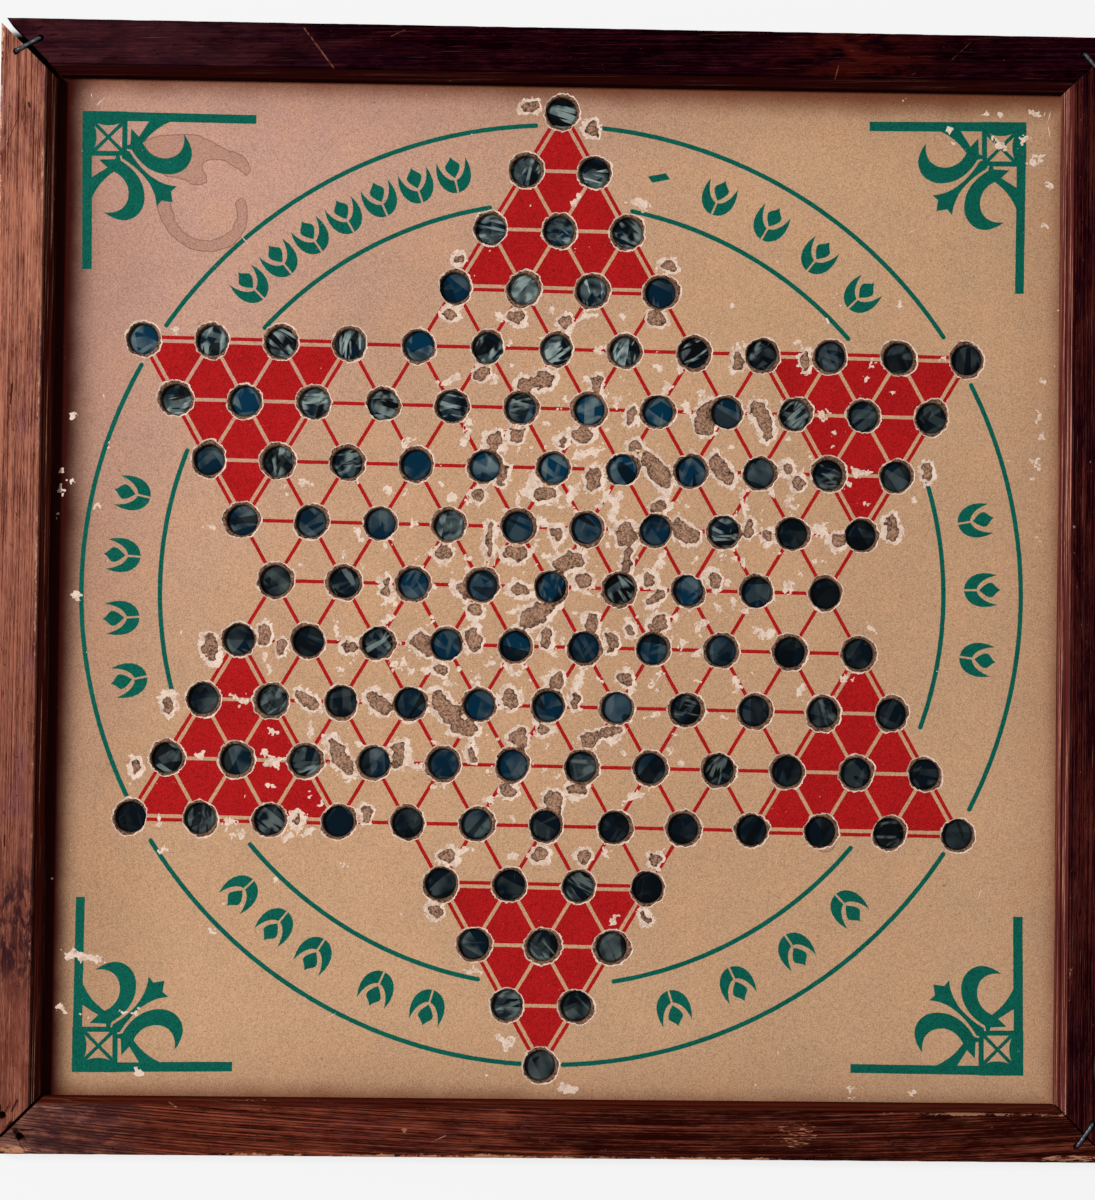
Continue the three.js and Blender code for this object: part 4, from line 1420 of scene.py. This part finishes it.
def wood_finish(name, look):
    """Old varnished wood with its grain along the rail, rubbed at the arrises, with painted light and shade
    in the ledge's colour and a painted highlight along the bead.
    """
    rail = board()[2]
    face = rail.face + look["wider"]
    shader = Shader(f"wood_{name}")
    level = look["quarter"] % 2 == 0
    along, side, reach = (shader.x, shader.y, REACH_Y) if level else (shader.y, shader.x, REACH_X)
    across = reach - abs(side)
    seed = 3 + 11 * look["quarter"]
    cut = across + (RAIL_TOP - shader.z) * 0.8
    bent = cut + along * look["slant"] - (along - 0.05) ** 2 * look["bow"]

    def grain(length, width, detail, roughness, distortion, turn, slant=0):
        place = shader.vector(along / length, (bent + along * slant) / width)
        return shader.noise(1, detail, roughness, distortion, place, seed + turn)

    def between(first, last):
        return along.step(first - 0.02, first + 0.02) * along.step(last + 0.02, last - 0.02)

    fibre = grain(6 * MM, 0.3 * MM, 3, 0.75, 0.3, 0)
    streaks = grain(80 * MM, 0.65 * MM, 2, 0.65, 0.4, 1)
    mottle = grain(26 * MM, 8 * MM, 4, 0.64, 0.8, 2)
    tint = grain(55 * MM, 14 * MM, 3, 0.6, 0.8, 3)
    curl = grain(300 * MM, 18 * MM, 2, 0.5, 0.4, 4)
    turns = ((bent + curl * (12 * MM)) / look["spacing"]).maths("FRACT")
    rings = turns.step(0.42, 0.92) * turns.step(1.0, 0.95)
    rings = rings * grain(110 * MM, 3 * MM, 2, 0.5, 0.3, 5).step(0.3, 0.6)
    tone = (0.42 - 0.14 * look["long"]) * fibre + (0.3 + 0.2 * look["long"]) * streaks
    tone = tone + (0.28 - 0.06 * look["long"]) * mottle - shader.x.step(-0.16, 0.12) * look["darker"]
    tone = tone.step(look["level"] - look["soft"], look["level"] + look["soft"])
    base = shader.mix(tone, look["dark"], look["light"])
    if look["fade"]:
        start, end, faded, much = look["fade"]
        faded = shader.shaded(faded, (0.9 * fibre + 0.9 * streaks).step(0.45, 1.3) * 1.3 + 0.35)
        base = shader.mix(along.step(start, end) * (0.4 + 0.6 * mottle.step(0.4, 0.6)) * much, base, faded)
    base = shader.mix(rings * look["rings"], base, look["dark"])
    violet = shader.vector_maths("MULTIPLY", base, (0.62, 0.6, 1.25))
    base = shader.mix(tint.step(0.5, 0.68) * look["violet"], base, violet)
    if look["glow"]:
        middle, half, warm, much = look["glow"]
        base = shader.mix(abs(along - middle).step(half, 0) * mottle.step(0.36, 0.58) * much, base,
                          shader.shaded(warm, 0.3 + 1.2 * fibre))
    if look["stain"]:
        middle, half, much = look["stain"]
        blots = grain(11 * MM, 4 * MM, 5, 0.7, 0.8, 12).step(0.41, 0.57)
        base = shader.mix(abs(along - middle).step(half, half * 0.3) * blots * much, base,
                          shader.shaded(screen(46, 22, 30), 0.3 + 1.2 * fibre))
    smudge = grain(5 * MM, 1.4 * MM, 3, 0.6, 0.6, 6, 0.25).step(0.62, 0.70)
    base = shader.mix(smudge * 0.75, base, shader.shaded(look["dark"], 0.45))
    hair = grain(26 * MM, 0.24 * MM, 1, 0.5, 0.1, 7).step(0.66, 0.76)
    base = shader.mix(hair * 0.35, base, look["worn"])
    ledge = across.step(face + 0.1 * MM, face + 0.6 * MM)
    # The ledge's colour is partly painted light and shade, by how the rail's ledge faces the lamp
    sunk = shader.shaded(look["ledge"], 0.2 + 0.9 * streaks + 0.7 * fibre)
    lines = grain(90 * MM, 0.5 * MM, 2, 0.6, 0.1, 8)
    sunk = shader.mix(lines.step(0.44, 0.34) * 0.7, sunk, look["dark"])
    paler = 0.06 * look["lines"]
    dashes = lines.step(0.59 - paler, 0.66 - paler) * (0.4 + 0.6 * fibre.step(0.4, 0.56))
    sunk = shader.mix(dashes * look["lines"], sunk, shader.shaded(look["worn"], 0.75 + 0.3 * look["lines"]))
    base = shader.mix(ledge, base, sunk)
    # Rubbed arrises: ragged, and only along some lengths. The pale line on the bead is partly wear and partly
    # a painted highlight
    ragged = grain(3.2 * MM, 1.1 * MM, 4, 0.75, 0.8, 9)
    lengths = grain(34 * MM, 40 * MM, 3, 0.6, 0.4, 10)
    high = shader.z.step(RAIL_TOP - 2.4 * MM, RAIL_TOP - 0.4 * MM)
    outer = across.step(3.0 * MM, 0.2 * MM) * high * between(*look["outer"][1:]) * look["outer"][0]
    inner = abs(across - (face - 0.4 * MM)).step(1.5 * MM, 0.3 * MM) * high * between(*look["inner"][1:])
    # Pale line along the bead: partly wear, partly a painted highlight on the sight edge
    bead = abs(across - (RAIL_WIDTH - rail.bead * 0.6)).step(0.5 * MM, 0.1 * MM)
    arris = outer + inner * look["inner"][0] + bead * 0.25
    rubbed = (arris * look["rubbed"] * 1.4 + 1.9 * (ragged - 0.5) + 2.2 * (lengths - 0.5) - 0.7).step(0, 0.2)
    nicks = grain(3 * MM, 1.0 * MM, 3, 0.75, 0.6, 11).step(0.69, 0.73)
    nicks = nicks.maths("MAXIMUM", grain(1.7 * MM, 0.5 * MM, 2, 0.6, 0.3, 14).step(0.70, 0.75) * 0.8)
    scuffs = (mottle * 0.5 + fibre * 0.5).step(0.62, 0.68) * look["rubbed"]
    rubbed = (rubbed * (0.85 - 0.3 * inner) + (nicks * 0.5 + scuffs * 0.4) * (1 - ledge)).clamp()
    broken = 0.15 + 0.85 * shader.noise(520, 3, 0.75).step(0.44, 0.54)
    chips = grain(5 * MM, 0.55 * MM, 3, 0.65, 0.3, 13)

    def stroke(x0, y0, x1, y1, half):
        long = math.hypot(x1 - x0, y1 - y0)
        dx, dy = (x1 - x0) / long, (y1 - y0) / long
        right, up = shader.x / MM - x0, shader.y / MM - y0
        on = right * dx + up * dy
        aside = abs(up * dx - right * dy) * (0.5 + ragged)
        return aside.step(half * 1.5, half * 0.6) * on.step(-half, half) * on.step(long + half, long - half)

    for scratch in look["scratches"]:
        rubbed = rubbed.maths("MAXIMUM", stroke(*scratch) * broken * 0.6)
    for x0, y0, wide, deep, left_over in look["patches"]:
        right, up = (shader.x / MM - x0) / wide, (shader.y / MM - y0) / deep
        within = (right * right + up * up).step(1.3, 0.3)
        kept = (chips + 0.2 * (within - 1)).step(left_over, left_over + 0.06)
        rubbed = rubbed.maths("MAXIMUM", kept * within.step(0, 0.2) * 0.75)
    base = shader.mix(rubbed, base, shader.shaded(look["worn"], 0.55 + 0.9 * fibre))
    for gouge in look["gouges"]:
        base = shader.mix(stroke(*gouge) * 0.9, base, shader.shaded(look["dark"], 0.1 + 0.6 * fibre))
    shader.fixed(specular_ior_level=0.0)
    height = 0.5 * streaks + 0.4 * fibre - 0.5 * smudge - 0.5 * rubbed - 0.4 * rings * look["rings"]
    return shader.finish(base, 0.5 + 0.3 * streaks + 0.15 * rubbed, height, 0.2 * MM, 0.8)


def arc_points(centre, radius, start, end, steps):
    """Points of an arc, in degrees from the first coordinate towards the second."""
    for angle in np.radians(np.linspace(start, end, steps)):
        yield centre[0] + radius * math.cos(angle), centre[1] + radius * math.sin(angle)


def rail_section(wider):
    """The section of a moulding: distance in from the outer face, and height."""
    rail = board()[2]
    face = rail.face + wider
    ledge = RAIL_TOP - rail.ledge_drop
    lip = RAIL_TOP - rail.sight_depth
    quirk_top = ledge - rail.quirk_drop
    inset = RAIL_WIDTH - rail.rebate
    points = [(rail.foot_round, 0), (inset, 0), (inset, lip), (RAIL_WIDTH, lip)]
    points += [(RAIL_WIDTH, quirk_top - rail.quirk),
               (RAIL_WIDTH - rail.quirk_depth, quirk_top - rail.quirk / 2), (RAIL_WIDTH, quirk_top)]
    points += arc_points((RAIL_WIDTH - rail.bead, ledge), rail.bead, 0, 180, 11)
    points += arc_points((face + rail.cove, ledge + rail.cove), rail.cove, 270, 180, 8)
    points += arc_points((face - rail.face_round, RAIL_TOP - rail.face_round),
                         rail.face_round, 0, 90, 6)
    points += [(face * share, RAIL_TOP) for share in (0.85, 0.7, 0.55, 0.4, 0.25)]
    points += arc_points((rail.outer_round, RAIL_TOP - rail.outer_round), rail.outer_round, 90, 180, 9)
    points += [(0, RAIL_TOP / 2)]
    points += arc_points((rail.foot_round, rail.foot_round), rail.foot_round, 180, 270, 5)
    kept = [points[0]]
    for point in points[1:-1]:
        if math.dist(point, kept[-1]) > 0.02 * MM:
            kept.append(point)
    return kept


# Each corner: its side of the middle, how wide its mitre gapes at the sight edge and outside,
# and how far out from the middle of the mitre its staple lies and its skew from square
CORNERS = {
    "top_left": {"side": (-1, 1), "gapes": (2.2 * MM, 3 * MM), "staple": (0.6 * MM, -15)},
    "top_right": {"side": (1, 1), "gapes": (0.4 * MM, 0.5 * MM), "staple": (0.1 * MM, -3)},
    "bottom_right": {"side": (1, -1), "gapes": (0.6 * MM, 0.8 * MM), "staple": (0, 10.5)},
    "bottom_left": {"side": (-1, -1), "gapes": (1.2 * MM, 1.3 * MM), "staple": (0.1 * MM, -5)},
}
LOST_STAPLE = "bottom_left"


def staple_place(name):
    """Middle, direction and leg places of the staple at a corner."""
    metal = board()[3]
    side_x, side_y = CORNERS[name]["side"]
    out, skew = CORNERS[name]["staple"]
    middle = Vector((side_x * (REACH_X - RAIL_WIDTH / 2), side_y * (REACH_Y - RAIL_WIDTH / 2)))
    middle += Vector((side_x, side_y)).normalized() * out
    angle = -side_x * side_y * math.pi / 4 + math.radians(skew)
    direction = Vector((math.cos(angle), math.sin(angle)))
    half = (metal.crown - metal.wire) / 2
    return middle, angle, [middle - direction * half, middle + direction * half]


def moulding_tree():
    """A tree that sweeps a section along a rail and dents its edges a little."""
    tree = Growth("moulding", length=0.45, stations=200, dent=0.0002, seed=0.0)
    section = tree.value("GeometryNodeMeshToCurve", None, {0: tree.given("geometry")})
    start, end = (tree.vector(tree.given("length") * share) for share in (-0.5, 0.5))
    line = tree.value("GeometryNodeCurvePrimitiveLine", None, {"Start": start, "End": end})
    path = tree.value("GeometryNodeResampleCurve", None, {"Curve": line, "Count": tree.given("stations")})
    squeezed = tree.vector_maths("MULTIPLY", tree.value("GeometryNodeInputPosition"), (0.35, 1, 1))
    noise = tree.value("ShaderNodeTexNoise", {"noise_dimensions": "4D"}, {
        "Vector": squeezed, "W": tree.given("seed"), "Scale": 420, "Detail": 3})
    sunk = tree.value("ShaderNodeMapRange", None, {
        "Value": noise, "From Min": 0.45, "From Max": 0.75, "To Min": 0, "To Max": 1})
    worn = tree.value("GeometryNodeInputNamedAttribute", {"data_type": "FLOAT"}, {"Name": "worn"})
    depth = sunk * worn * tree.given("dent") * -1
    offset = tree.vector_maths("SCALE", tree.value("GeometryNodeInputNormal"), depth)
    tree.end(tree.value("GeometryNodeSetPosition", None, {
        "Geometry": tree.swept(path, section), "Offset": offset}))
    return tree


def bisected(shape, point, outwards):
    """Cuts a closed bmesh by a plane, drops what lies outwards and closes the cut."""
    cut = bmesh.ops.bisect_plane(
        shape, geom=[*shape.verts, *shape.edges, *shape.faces], plane_co=point,
        plane_no=outwards, clear_outer=True, dist=1e-7)
    edges = [part for part in cut["geom_cut"] if isinstance(part, bmesh.types.BMEdge)]
    bmesh.ops.holes_fill(shape, edges=edges, sides=0)


def carved(mesh, tool, tangled=False):
    """A mesh less another one, whose own parts may cross where it says tangled."""
    base, cutter = (bpy.data.objects.new("carved", part) for part in (mesh, tool))
    for made in (base, cutter):
        bpy.context.scene.collection.objects.link(made)
    modifier = base.modifiers.new("cut", "BOOLEAN")
    modifier.operation = "DIFFERENCE"
    modifier.solver = "EXACT"
    modifier.use_self = tangled
    modifier.object = cutter
    graph = bpy.context.evaluated_depsgraph_get()
    result = bpy.data.meshes.new_from_object(base.evaluated_get(graph))
    for made in (base, cutter):
        bpy.data.objects.remove(made)
    return result


def drilled(mesh, cutters):
    """A mesh less some cutters, which are made one solid first."""
    far_off = peg(1 * MM, 1 * MM, 6, Vector((1, 1)), 0)
    return carved(mesh, carved(joined(cutters), far_off, tangled=True))


def peg(radius, depth, sides, place, high):
    """A closed ragged round cutter, from its foot up to a height."""
    draw = np.random.default_rng(round(abs(place.x) / MM) + sides)
    mesh = bpy.data.meshes.new("peg")
    with edited(mesh) as shape:
        bmesh.ops.create_cone(shape, cap_ends=True, segments=sides, radius1=radius * 0.9,
                              radius2=radius * 1.25, depth=depth)
        for vertex in shape.verts:
            vertex.co.xy *= draw.uniform(0.85, 1.2)
        bmesh.ops.translate(shape, verts=shape.verts, vec=(place.x, place.y, high - depth / 2))
    return mesh


def splinters(place, degrees, seed):
    """Closed thin wedges that tear the wood open round a lost leg, mostly one way."""
    draw = np.random.default_rng(seed)
    for number in range(12):
        long = draw.uniform(2.4, 6.5) * MM
        wide = draw.uniform(0.5, 1.2) * MM * (1.5 if number == 0 else 1)
        mesh = bpy.data.meshes.new("splinter")
        with edited(mesh) as shape:
            bmesh.ops.create_icosphere(shape, subdivisions=2, radius=1)
            for vertex in shape.verts:
                vertex.co *= draw.uniform(0.8, 1.15)
            size = Matrix.Diagonal((long / 2, wide / 2, draw.uniform(0.35, 0.9) * MM, 1))
            spin = Matrix.Rotation(math.radians(degrees + draw.normal(0, 16)), 4, "Z")
            aside = spin @ Vector((draw.uniform(-2.4, 4.4) * MM, draw.uniform(-1.3, 1.3) * MM, 0))
            middle = Vector((place.x, place.y, RAIL_TOP)) + aside
            shape.transform(Matrix.Translation(middle) @ spin @ size)
        yield mesh


class BOARD_OT_rails(bpy.types.Operator):
    """The four mitred rails, swept from one section, dented and rubbed."""

    bl_idname = "board.rails"
    bl_label = "Rails"

    ends = {"top": ("top_left", "top_right"), "left": ("bottom_left", "top_left"),
            "bottom": ("bottom_right", "bottom_left"), "right": ("top_right", "bottom_right")}
    station_spacing = 1.6 * MM
    dent_depth = 0.32 * MM

    def execute(self, context):
        tree = moulding_tree()
        for name, marks in RAILS.items():
            look = PLAIN_RAIL | marks
            level = look["quarter"] % 2 == 0
            span, reach = (2 * REACH_X, REACH_Y) if level else (2 * REACH_Y, REACH_X)
            section = rail_section(look["wider"])[::-1]
            count = len(section)
            outline = mesh_of([(inwards, -height, 0) for inwards, height in section], (),
                              edges=[(k, (k + 1) % count) for k in range(count)])
            marked(outline, "worn", [self.wear(point, look["wider"]) for point in section])
            material = wood_finish(name, look)
            mesh = tree.grown(outline, length=span, stations=round(span / self.station_spacing),
                              dent=self.dent_depth, seed=float(look["quarter"] * 7), material=material)
            with edited(mesh) as shape:
                bmesh.ops.translate(shape, verts=shape.verts, vec=(0, reach, 0))
                bmesh.ops.recalc_face_normals(shape, faces=shape.faces)
                for end, corner in zip((-1, 1), self.ends[name]):
                    bisected(shape, *self.mitre(span, reach, end, *CORNERS[corner]["gapes"]))
                bmesh.ops.rotate(shape, verts=shape.verts, cent=(0, 0, 0),
                                 matrix=Matrix.Rotation(look["quarter"] * math.pi / 2, 3, "Z"))
                bmesh.ops.recalc_face_normals(shape, faces=shape.faces)
            mesh = drilled(mesh, [cutter for corner in self.ends[name] for cutter in self.leg_holes(corner)])
            mesh.materials.clear()
            mesh.materials.append(material)
            piece(f"dressed_rail_{name}", mesh, f"rail_{name}", f"rail_{name}", rounded=38)
        return {"FINISHED"}

    @staticmethod
    def leg_holes(corner):
        """Cutters for a staple's two holes, torn wider where the staple is lost."""
        metal = board()[3]
        lost = corner == LOST_STAPLE
        radius = metal.wire * (0.85 if lost else 0.75)
        for number, leg in enumerate(staple_place(corner)[2]):
            yield peg(radius, metal.leg + 2 * MM, 14, leg, RAIL_TOP + 1.5 * MM)
            if lost:
                yield from splinters(leg, -38 + 100 * (1 - number), 40 + number)

    @staticmethod
    def wear(point, wider):
        """How readily a point of the section is dented: most at the arrises and the bead."""
        rail = board()[2]
        outer = max(0, 1 - math.dist(point, (0.4 * MM, RAIL_TOP - 0.4 * MM)) / (2 * MM))
        inner = max(0, 1 - math.dist(point, (rail.face + wider, RAIL_TOP)) / (0.9 * MM))
        bead_top = (RAIL_WIDTH - rail.bead, RAIL_TOP - rail.ledge_drop + rail.bead)
        bead = max(0, 0.6 - math.dist(point, bead_top) / (1.2 * MM))
        return max(outer, inner, bead)

    @staticmethod
    def mitre(span, reach, end, sight_gap, outside_gap):
        """A point of one end's mitre cut and the direction of the waste, on the top rail."""
        back = Vector((-end, 1)).normalized()
        sight = Vector((end * (span / 2 - RAIL_WIDTH), reach - RAIL_WIDTH)) + back * sight_gap / 2
        outside = Vector((end * span / 2, reach)) + back * outside_gap / 2
        kerf = (outside - sight).normalized()
        return (*sight, 0), (kerf.y * end, -kerf.x * end, 0)


def steel_finish(colours):
    """Dark wire with rubbed highlights and specks of rust."""
    shader = Shader("dark_steel")
    scratches = shader.noise(900, 3, 0.7)
    rust = shader.noise(420, 3, 0.7, seed=3).step(0.56, 0.7)
    base = shader.mix(scratches.step(0.42, 0.58), (0.03, 0.035, 0.04), colours.steel)
    base = shader.mix(rust * 0.5, base, (0.06, 0.025, 0.012))
    shader.feed(shader.surface.inputs["Metallic"], 0.9 - 0.7 * rust)
    return shader.finish(base, 0.22 + 0.3 * scratches, scratches, 0.05 * MM, 0.4)


class BOARD_OT_staples(bpy.types.Operator):
    """The three wire staples left across the mitres."""

    bl_idname = "board.staples"
    bl_label = "Staples"

    def execute(self, context):
        metal, colours = board()[3:]
        material = steel_finish(colours)
        tree = Growth("staple", wire=0.0013, bend=0.0014)
        path = tree.value("GeometryNodeMeshToCurve", None, {0: tree.given("geometry")})
        bent = tree.value("GeometryNodeFilletCurve", {"mode": "POLY"}, {
            "Curve": path, "Radius": tree.given("bend"), "Limit Radius": True, "Count": 7})
        even = tree.value("GeometryNodeResampleCurve", {"mode": "LENGTH"}, {
            "Curve": bent, "Length": 0.45 * MM})
        wire = tree.value("GeometryNodeCurvePrimitiveCircle", None, {
            "Resolution": 14, "Radius": tree.given("wire") * 0.5})
        tree.end(tree.swept(even, wire))
        low, high = RAIL_TOP - metal.leg, CAD_BOX[1][2] - metal.wire / 2
        half = (metal.crown - metal.wire) / 2
        points = (-half, 0, low), (-half, 0, high), (half, 0, high), (half, 0, low)
        for name in CORNERS:
            if name == LOST_STAPLE:
                continue
            middle, angle, _ = staple_place(name)
            source = mesh_of(points, (), edges=[(0, 1), (1, 2), (2, 3)])
            mesh = tree.grown(source, wire=metal.wire, bend=metal.bend, material=material)
            mesh.transform(Matrix.Translation((*middle, 0)) @ Matrix.Rotation(angle, 4, "Z"))
            weld(mesh)
            piece(f"wire_staple_{name}", mesh, "steel", f"staple_{name}", rounded=50)
        return {"FINISHED"}


class BOARD_OT_brads(bpy.types.Operator):
    """The twelve brads in the rebate, behind the back board."""

    bl_idname = "board.brads"
    bl_label = "Brads"

    def execute(self, context):
        metal, colours = board()[3:]
        material = bpy.data.materials.get("dark_steel") or steel_finish(colours)
        nodes = sorted(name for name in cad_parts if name.startswith("brad_"))
        heads, turns = [], []
        for name in nodes:
            low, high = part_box(name)
            spin = ("top", "left", "bottom", "right").index(name.split("_")[1]) * math.pi / 2
            outwards = Matrix.Rotation(spin, 3, "Z") @ Vector((0, 1, 0))
            heads.append((low + high) / 2 - outwards * metal.brad_length / 2)
            turns.append(spin)
        source = mesh_of(heads, ())
        marked(source, "side_turn", turns)
        tree = Growth("brads", shank=0.0012, head=0.002, head_thickness=0.0005, length=0.019, point=0.0018)
        head, shank = (tree.given(part) * 0.5 for part in ("head", "shank"))
        neck, end = tree.given("head_thickness"), tree.given("length")
        waist = end - tree.given("point")
        brad = tree.node("GeometryNodeJoinGeometry")
        for part in ((head, head, 0, neck), (shank, shank, neck, waist), (shank, 0.05 * MM, waist, end)):
            tree.feed(brad.inputs[0], self.turned_part(tree, *part))
        side = tree.value("GeometryNodeInputNamedAttribute", {"data_type": "FLOAT"}, {"Name": "side_turn"})
        spin = tree.vector(-math.pi / 2, 0, side)
        tree.end(tree.placed(tree.given("geometry"), Value(tree, brad.outputs[0]), spin))
        mesh = tree.grown(source, shank=metal.brad, head=metal.brad_head,
                          head_thickness=metal.brad_head_thickness, length=metal.brad_length,
                          point=metal.brad_point, material=material)
        piece("driven_brads", mesh, "steel", *nodes, rounded=40)
        return {"FINISHED"}

    @staticmethod
    def turned_part(tree, foot, top, low, high):
        """One round part of a brad on its axis, from one place along it to another."""
        cone = tree.value("GeometryNodeMeshCone", None, {
            "Vertices": 16, "Radius Bottom": foot, "Radius Top": top, "Depth": high - low})
        return tree.value("GeometryNodeTransform", None, {
            "Geometry": cone, "Translation": tree.vector(0, 0, low)})


# Stage

def seen_rays(tree):
    """1 for the rays that show the background: the camera's, and those by way of metal or glass."""
    camera, glossy, through = (
        tree.value("ShaderNodeLightPath", output=f"Is {kind} Ray")
        for kind in ("Camera", "Glossy", "Transmission"))
    return camera.maths("MAXIMUM", glossy).maths("MAXIMUM", through)


class BOARD_OT_stage(bpy.types.Operator):
    """A plain pale floor, a soft light from the left and a camera above the board."""

    bl_idname = "board.stage"
    bl_label = "Stage"

    camera_place = Vector((-38.46, -37.43, 1289.8)) * MM
    camera_turn = (1.509, -1.565, 0.760)
    camera_lens = 94.5
    lamp_place = Vector((-1.25, 0.35, 2.1))
    lamp_size = 0.3
    lamp_power = 52
    floor_half = 2.2
    background = 0.93

    def execute(self, context):
        scene = context.scene
        scene.view_settings.view_transform = "Standard"
        self.floor()
        self.lights(scene)
        camera = bpy.data.objects.new("camera", bpy.data.cameras.new("camera"))
        camera.data.lens = self.camera_lens
        camera.data.sensor_width = 36
        camera.data.clip_start = 0.05
        camera.data.clip_end = 20
        camera.location = self.camera_place
        camera.rotation_mode = "ZYX"
        camera.rotation_euler = [math.radians(angle) for angle in self.camera_turn]
        scene.collection.objects.link(camera)
        scene.camera = camera
        return {"FINISHED"}

    def floor(self):
        """A wide pale floor that the camera sees nearly white, with the board's shadow kept, and painted very
        dark under the board as painted shade seen through the mitre gaps.
        """
        half = self.floor_half
        corners = (-half, -half, 0), (half, -half, 0), (half, half, 0), (-half, half, 0)
        shader = Shader("pale_floor")
        shader.fixed(roughness=0.9, specular_ior_level=0)
        white = shader.value("ShaderNodeEmission", None, {
            "Color": (self.background, self.background, self.background, 1), "Strength": 1})
        out_x, out_y = (abs(place).step(reach - 4.5 * MM, reach + 0.5 * MM)
                        for place, reach in ((shader.x, REACH_X), (shader.y, REACH_Y)))
        outside = out_x.maths("MAXIMUM", out_y)
        # Under the board the floor's colour is very dark: painted shade
        shade = shader.mix(outside, (0.02, 0.02, 0.02), (0.82, 0.82, 0.82))
        shader.feed(shader.surface.inputs["Base Color"], shade)
        both = shader.value("ShaderNodeMixShader", None, {
            0: seen_rays(shader) * outside * 0.9, 1: Value(shader, shader.surface.outputs[0]), 2: white})
        shader.feed(shader.output, both)
        made = bpy.data.objects.new("floor", mesh_of(corners, [(0, 1, 2, 3)], [shader.material]))
        bpy.context.scene.collection.objects.link(made)

    def lights(self, scene):
        """A soft lamp high on the left and an even, dimmer sky."""
        lamp = bpy.data.lights.new("key", "AREA")
        lamp.shape = "DISK"
        lamp.size = self.lamp_size
        lamp.energy = self.lamp_power
        made = bpy.data.objects.new("key", lamp)
        made.location = self.lamp_place
        made.rotation_euler = (-self.lamp_place).to_track_quat("-Z", "Y").to_euler()
        scene.collection.objects.link(made)
        world = bpy.data.worlds.new("studio")
        scene.world = world
        world.use_nodes = True
        tree = Tree(world.node_tree)
        tree.tree.nodes.clear()
        height = tree.axes(tree.value("ShaderNodeTexCoord", output="Generated"))[2]
        strength = 0.34 - 0.2 * height.step(0.5, 0.95)
        strength = strength + seen_rays(tree) * (self.background - strength)
        background = tree.value("ShaderNodeBackground", None, {"Color": (1, 1, 1, 1), "Strength": strength})
        tree.feed(tree.node("ShaderNodeOutputWorld").inputs[0], background)


class BOARD_PT_panel(bpy.types.Panel):
    """The board's operators and sizes."""

    bl_label = "Star Marble Board"
    bl_idname = "BOARD_PT_panel"
    bl_space_type = "VIEW_3D"
    bl_region_type = "UI"
    bl_category = "Board"

    def draw(self, context):
        layout = self.layout
        for operator in OPERATORS:
            layout.operator(operator.bl_idname)
        for name in GROUPS:
            group = getattr(context.scene, name)
            box = layout.box()
            for key in group.bl_rna.properties.keys():
                if key not in ("rna_type", "name"):
                    box.prop(group, key)


OPERATORS = (BOARD_OT_card, BOARD_OT_paper, BOARD_OT_red, BOARD_OT_green, BOARD_OT_sheets,
             BOARD_OT_rails, BOARD_OT_staples, BOARD_OT_brads, BOARD_OT_stage)
GROUPS = {"board_star": BoardStar, "board_print": BoardPrint, "board_rails": BoardRails,
          "board_metal": BoardMetal, "board_colours": BoardColours}


def register():
    """Makes the operators, the panel and the sizes known to Blender."""
    for kind in (*GROUPS.values(), *OPERATORS, BOARD_PT_panel):
        bpy.utils.register_class(kind)
    for name, group in GROUPS.items():
        setattr(bpy.types.Scene, name, bpy.props.PointerProperty(type=group))


def unregister():
    """Takes all of it out again."""
    for name in GROUPS:
        delattr(bpy.types.Scene, name)
    for kind in (BOARD_PT_panel, *reversed(OPERATORS), *reversed(GROUPS.values())):
        bpy.utils.unregister_class(kind)


def main():
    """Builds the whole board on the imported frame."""
    register()
    for operator in OPERATORS:
        getattr(bpy.ops.board, operator.bl_idname.split(".")[1])()


if __name__ == "__main__":
    main()
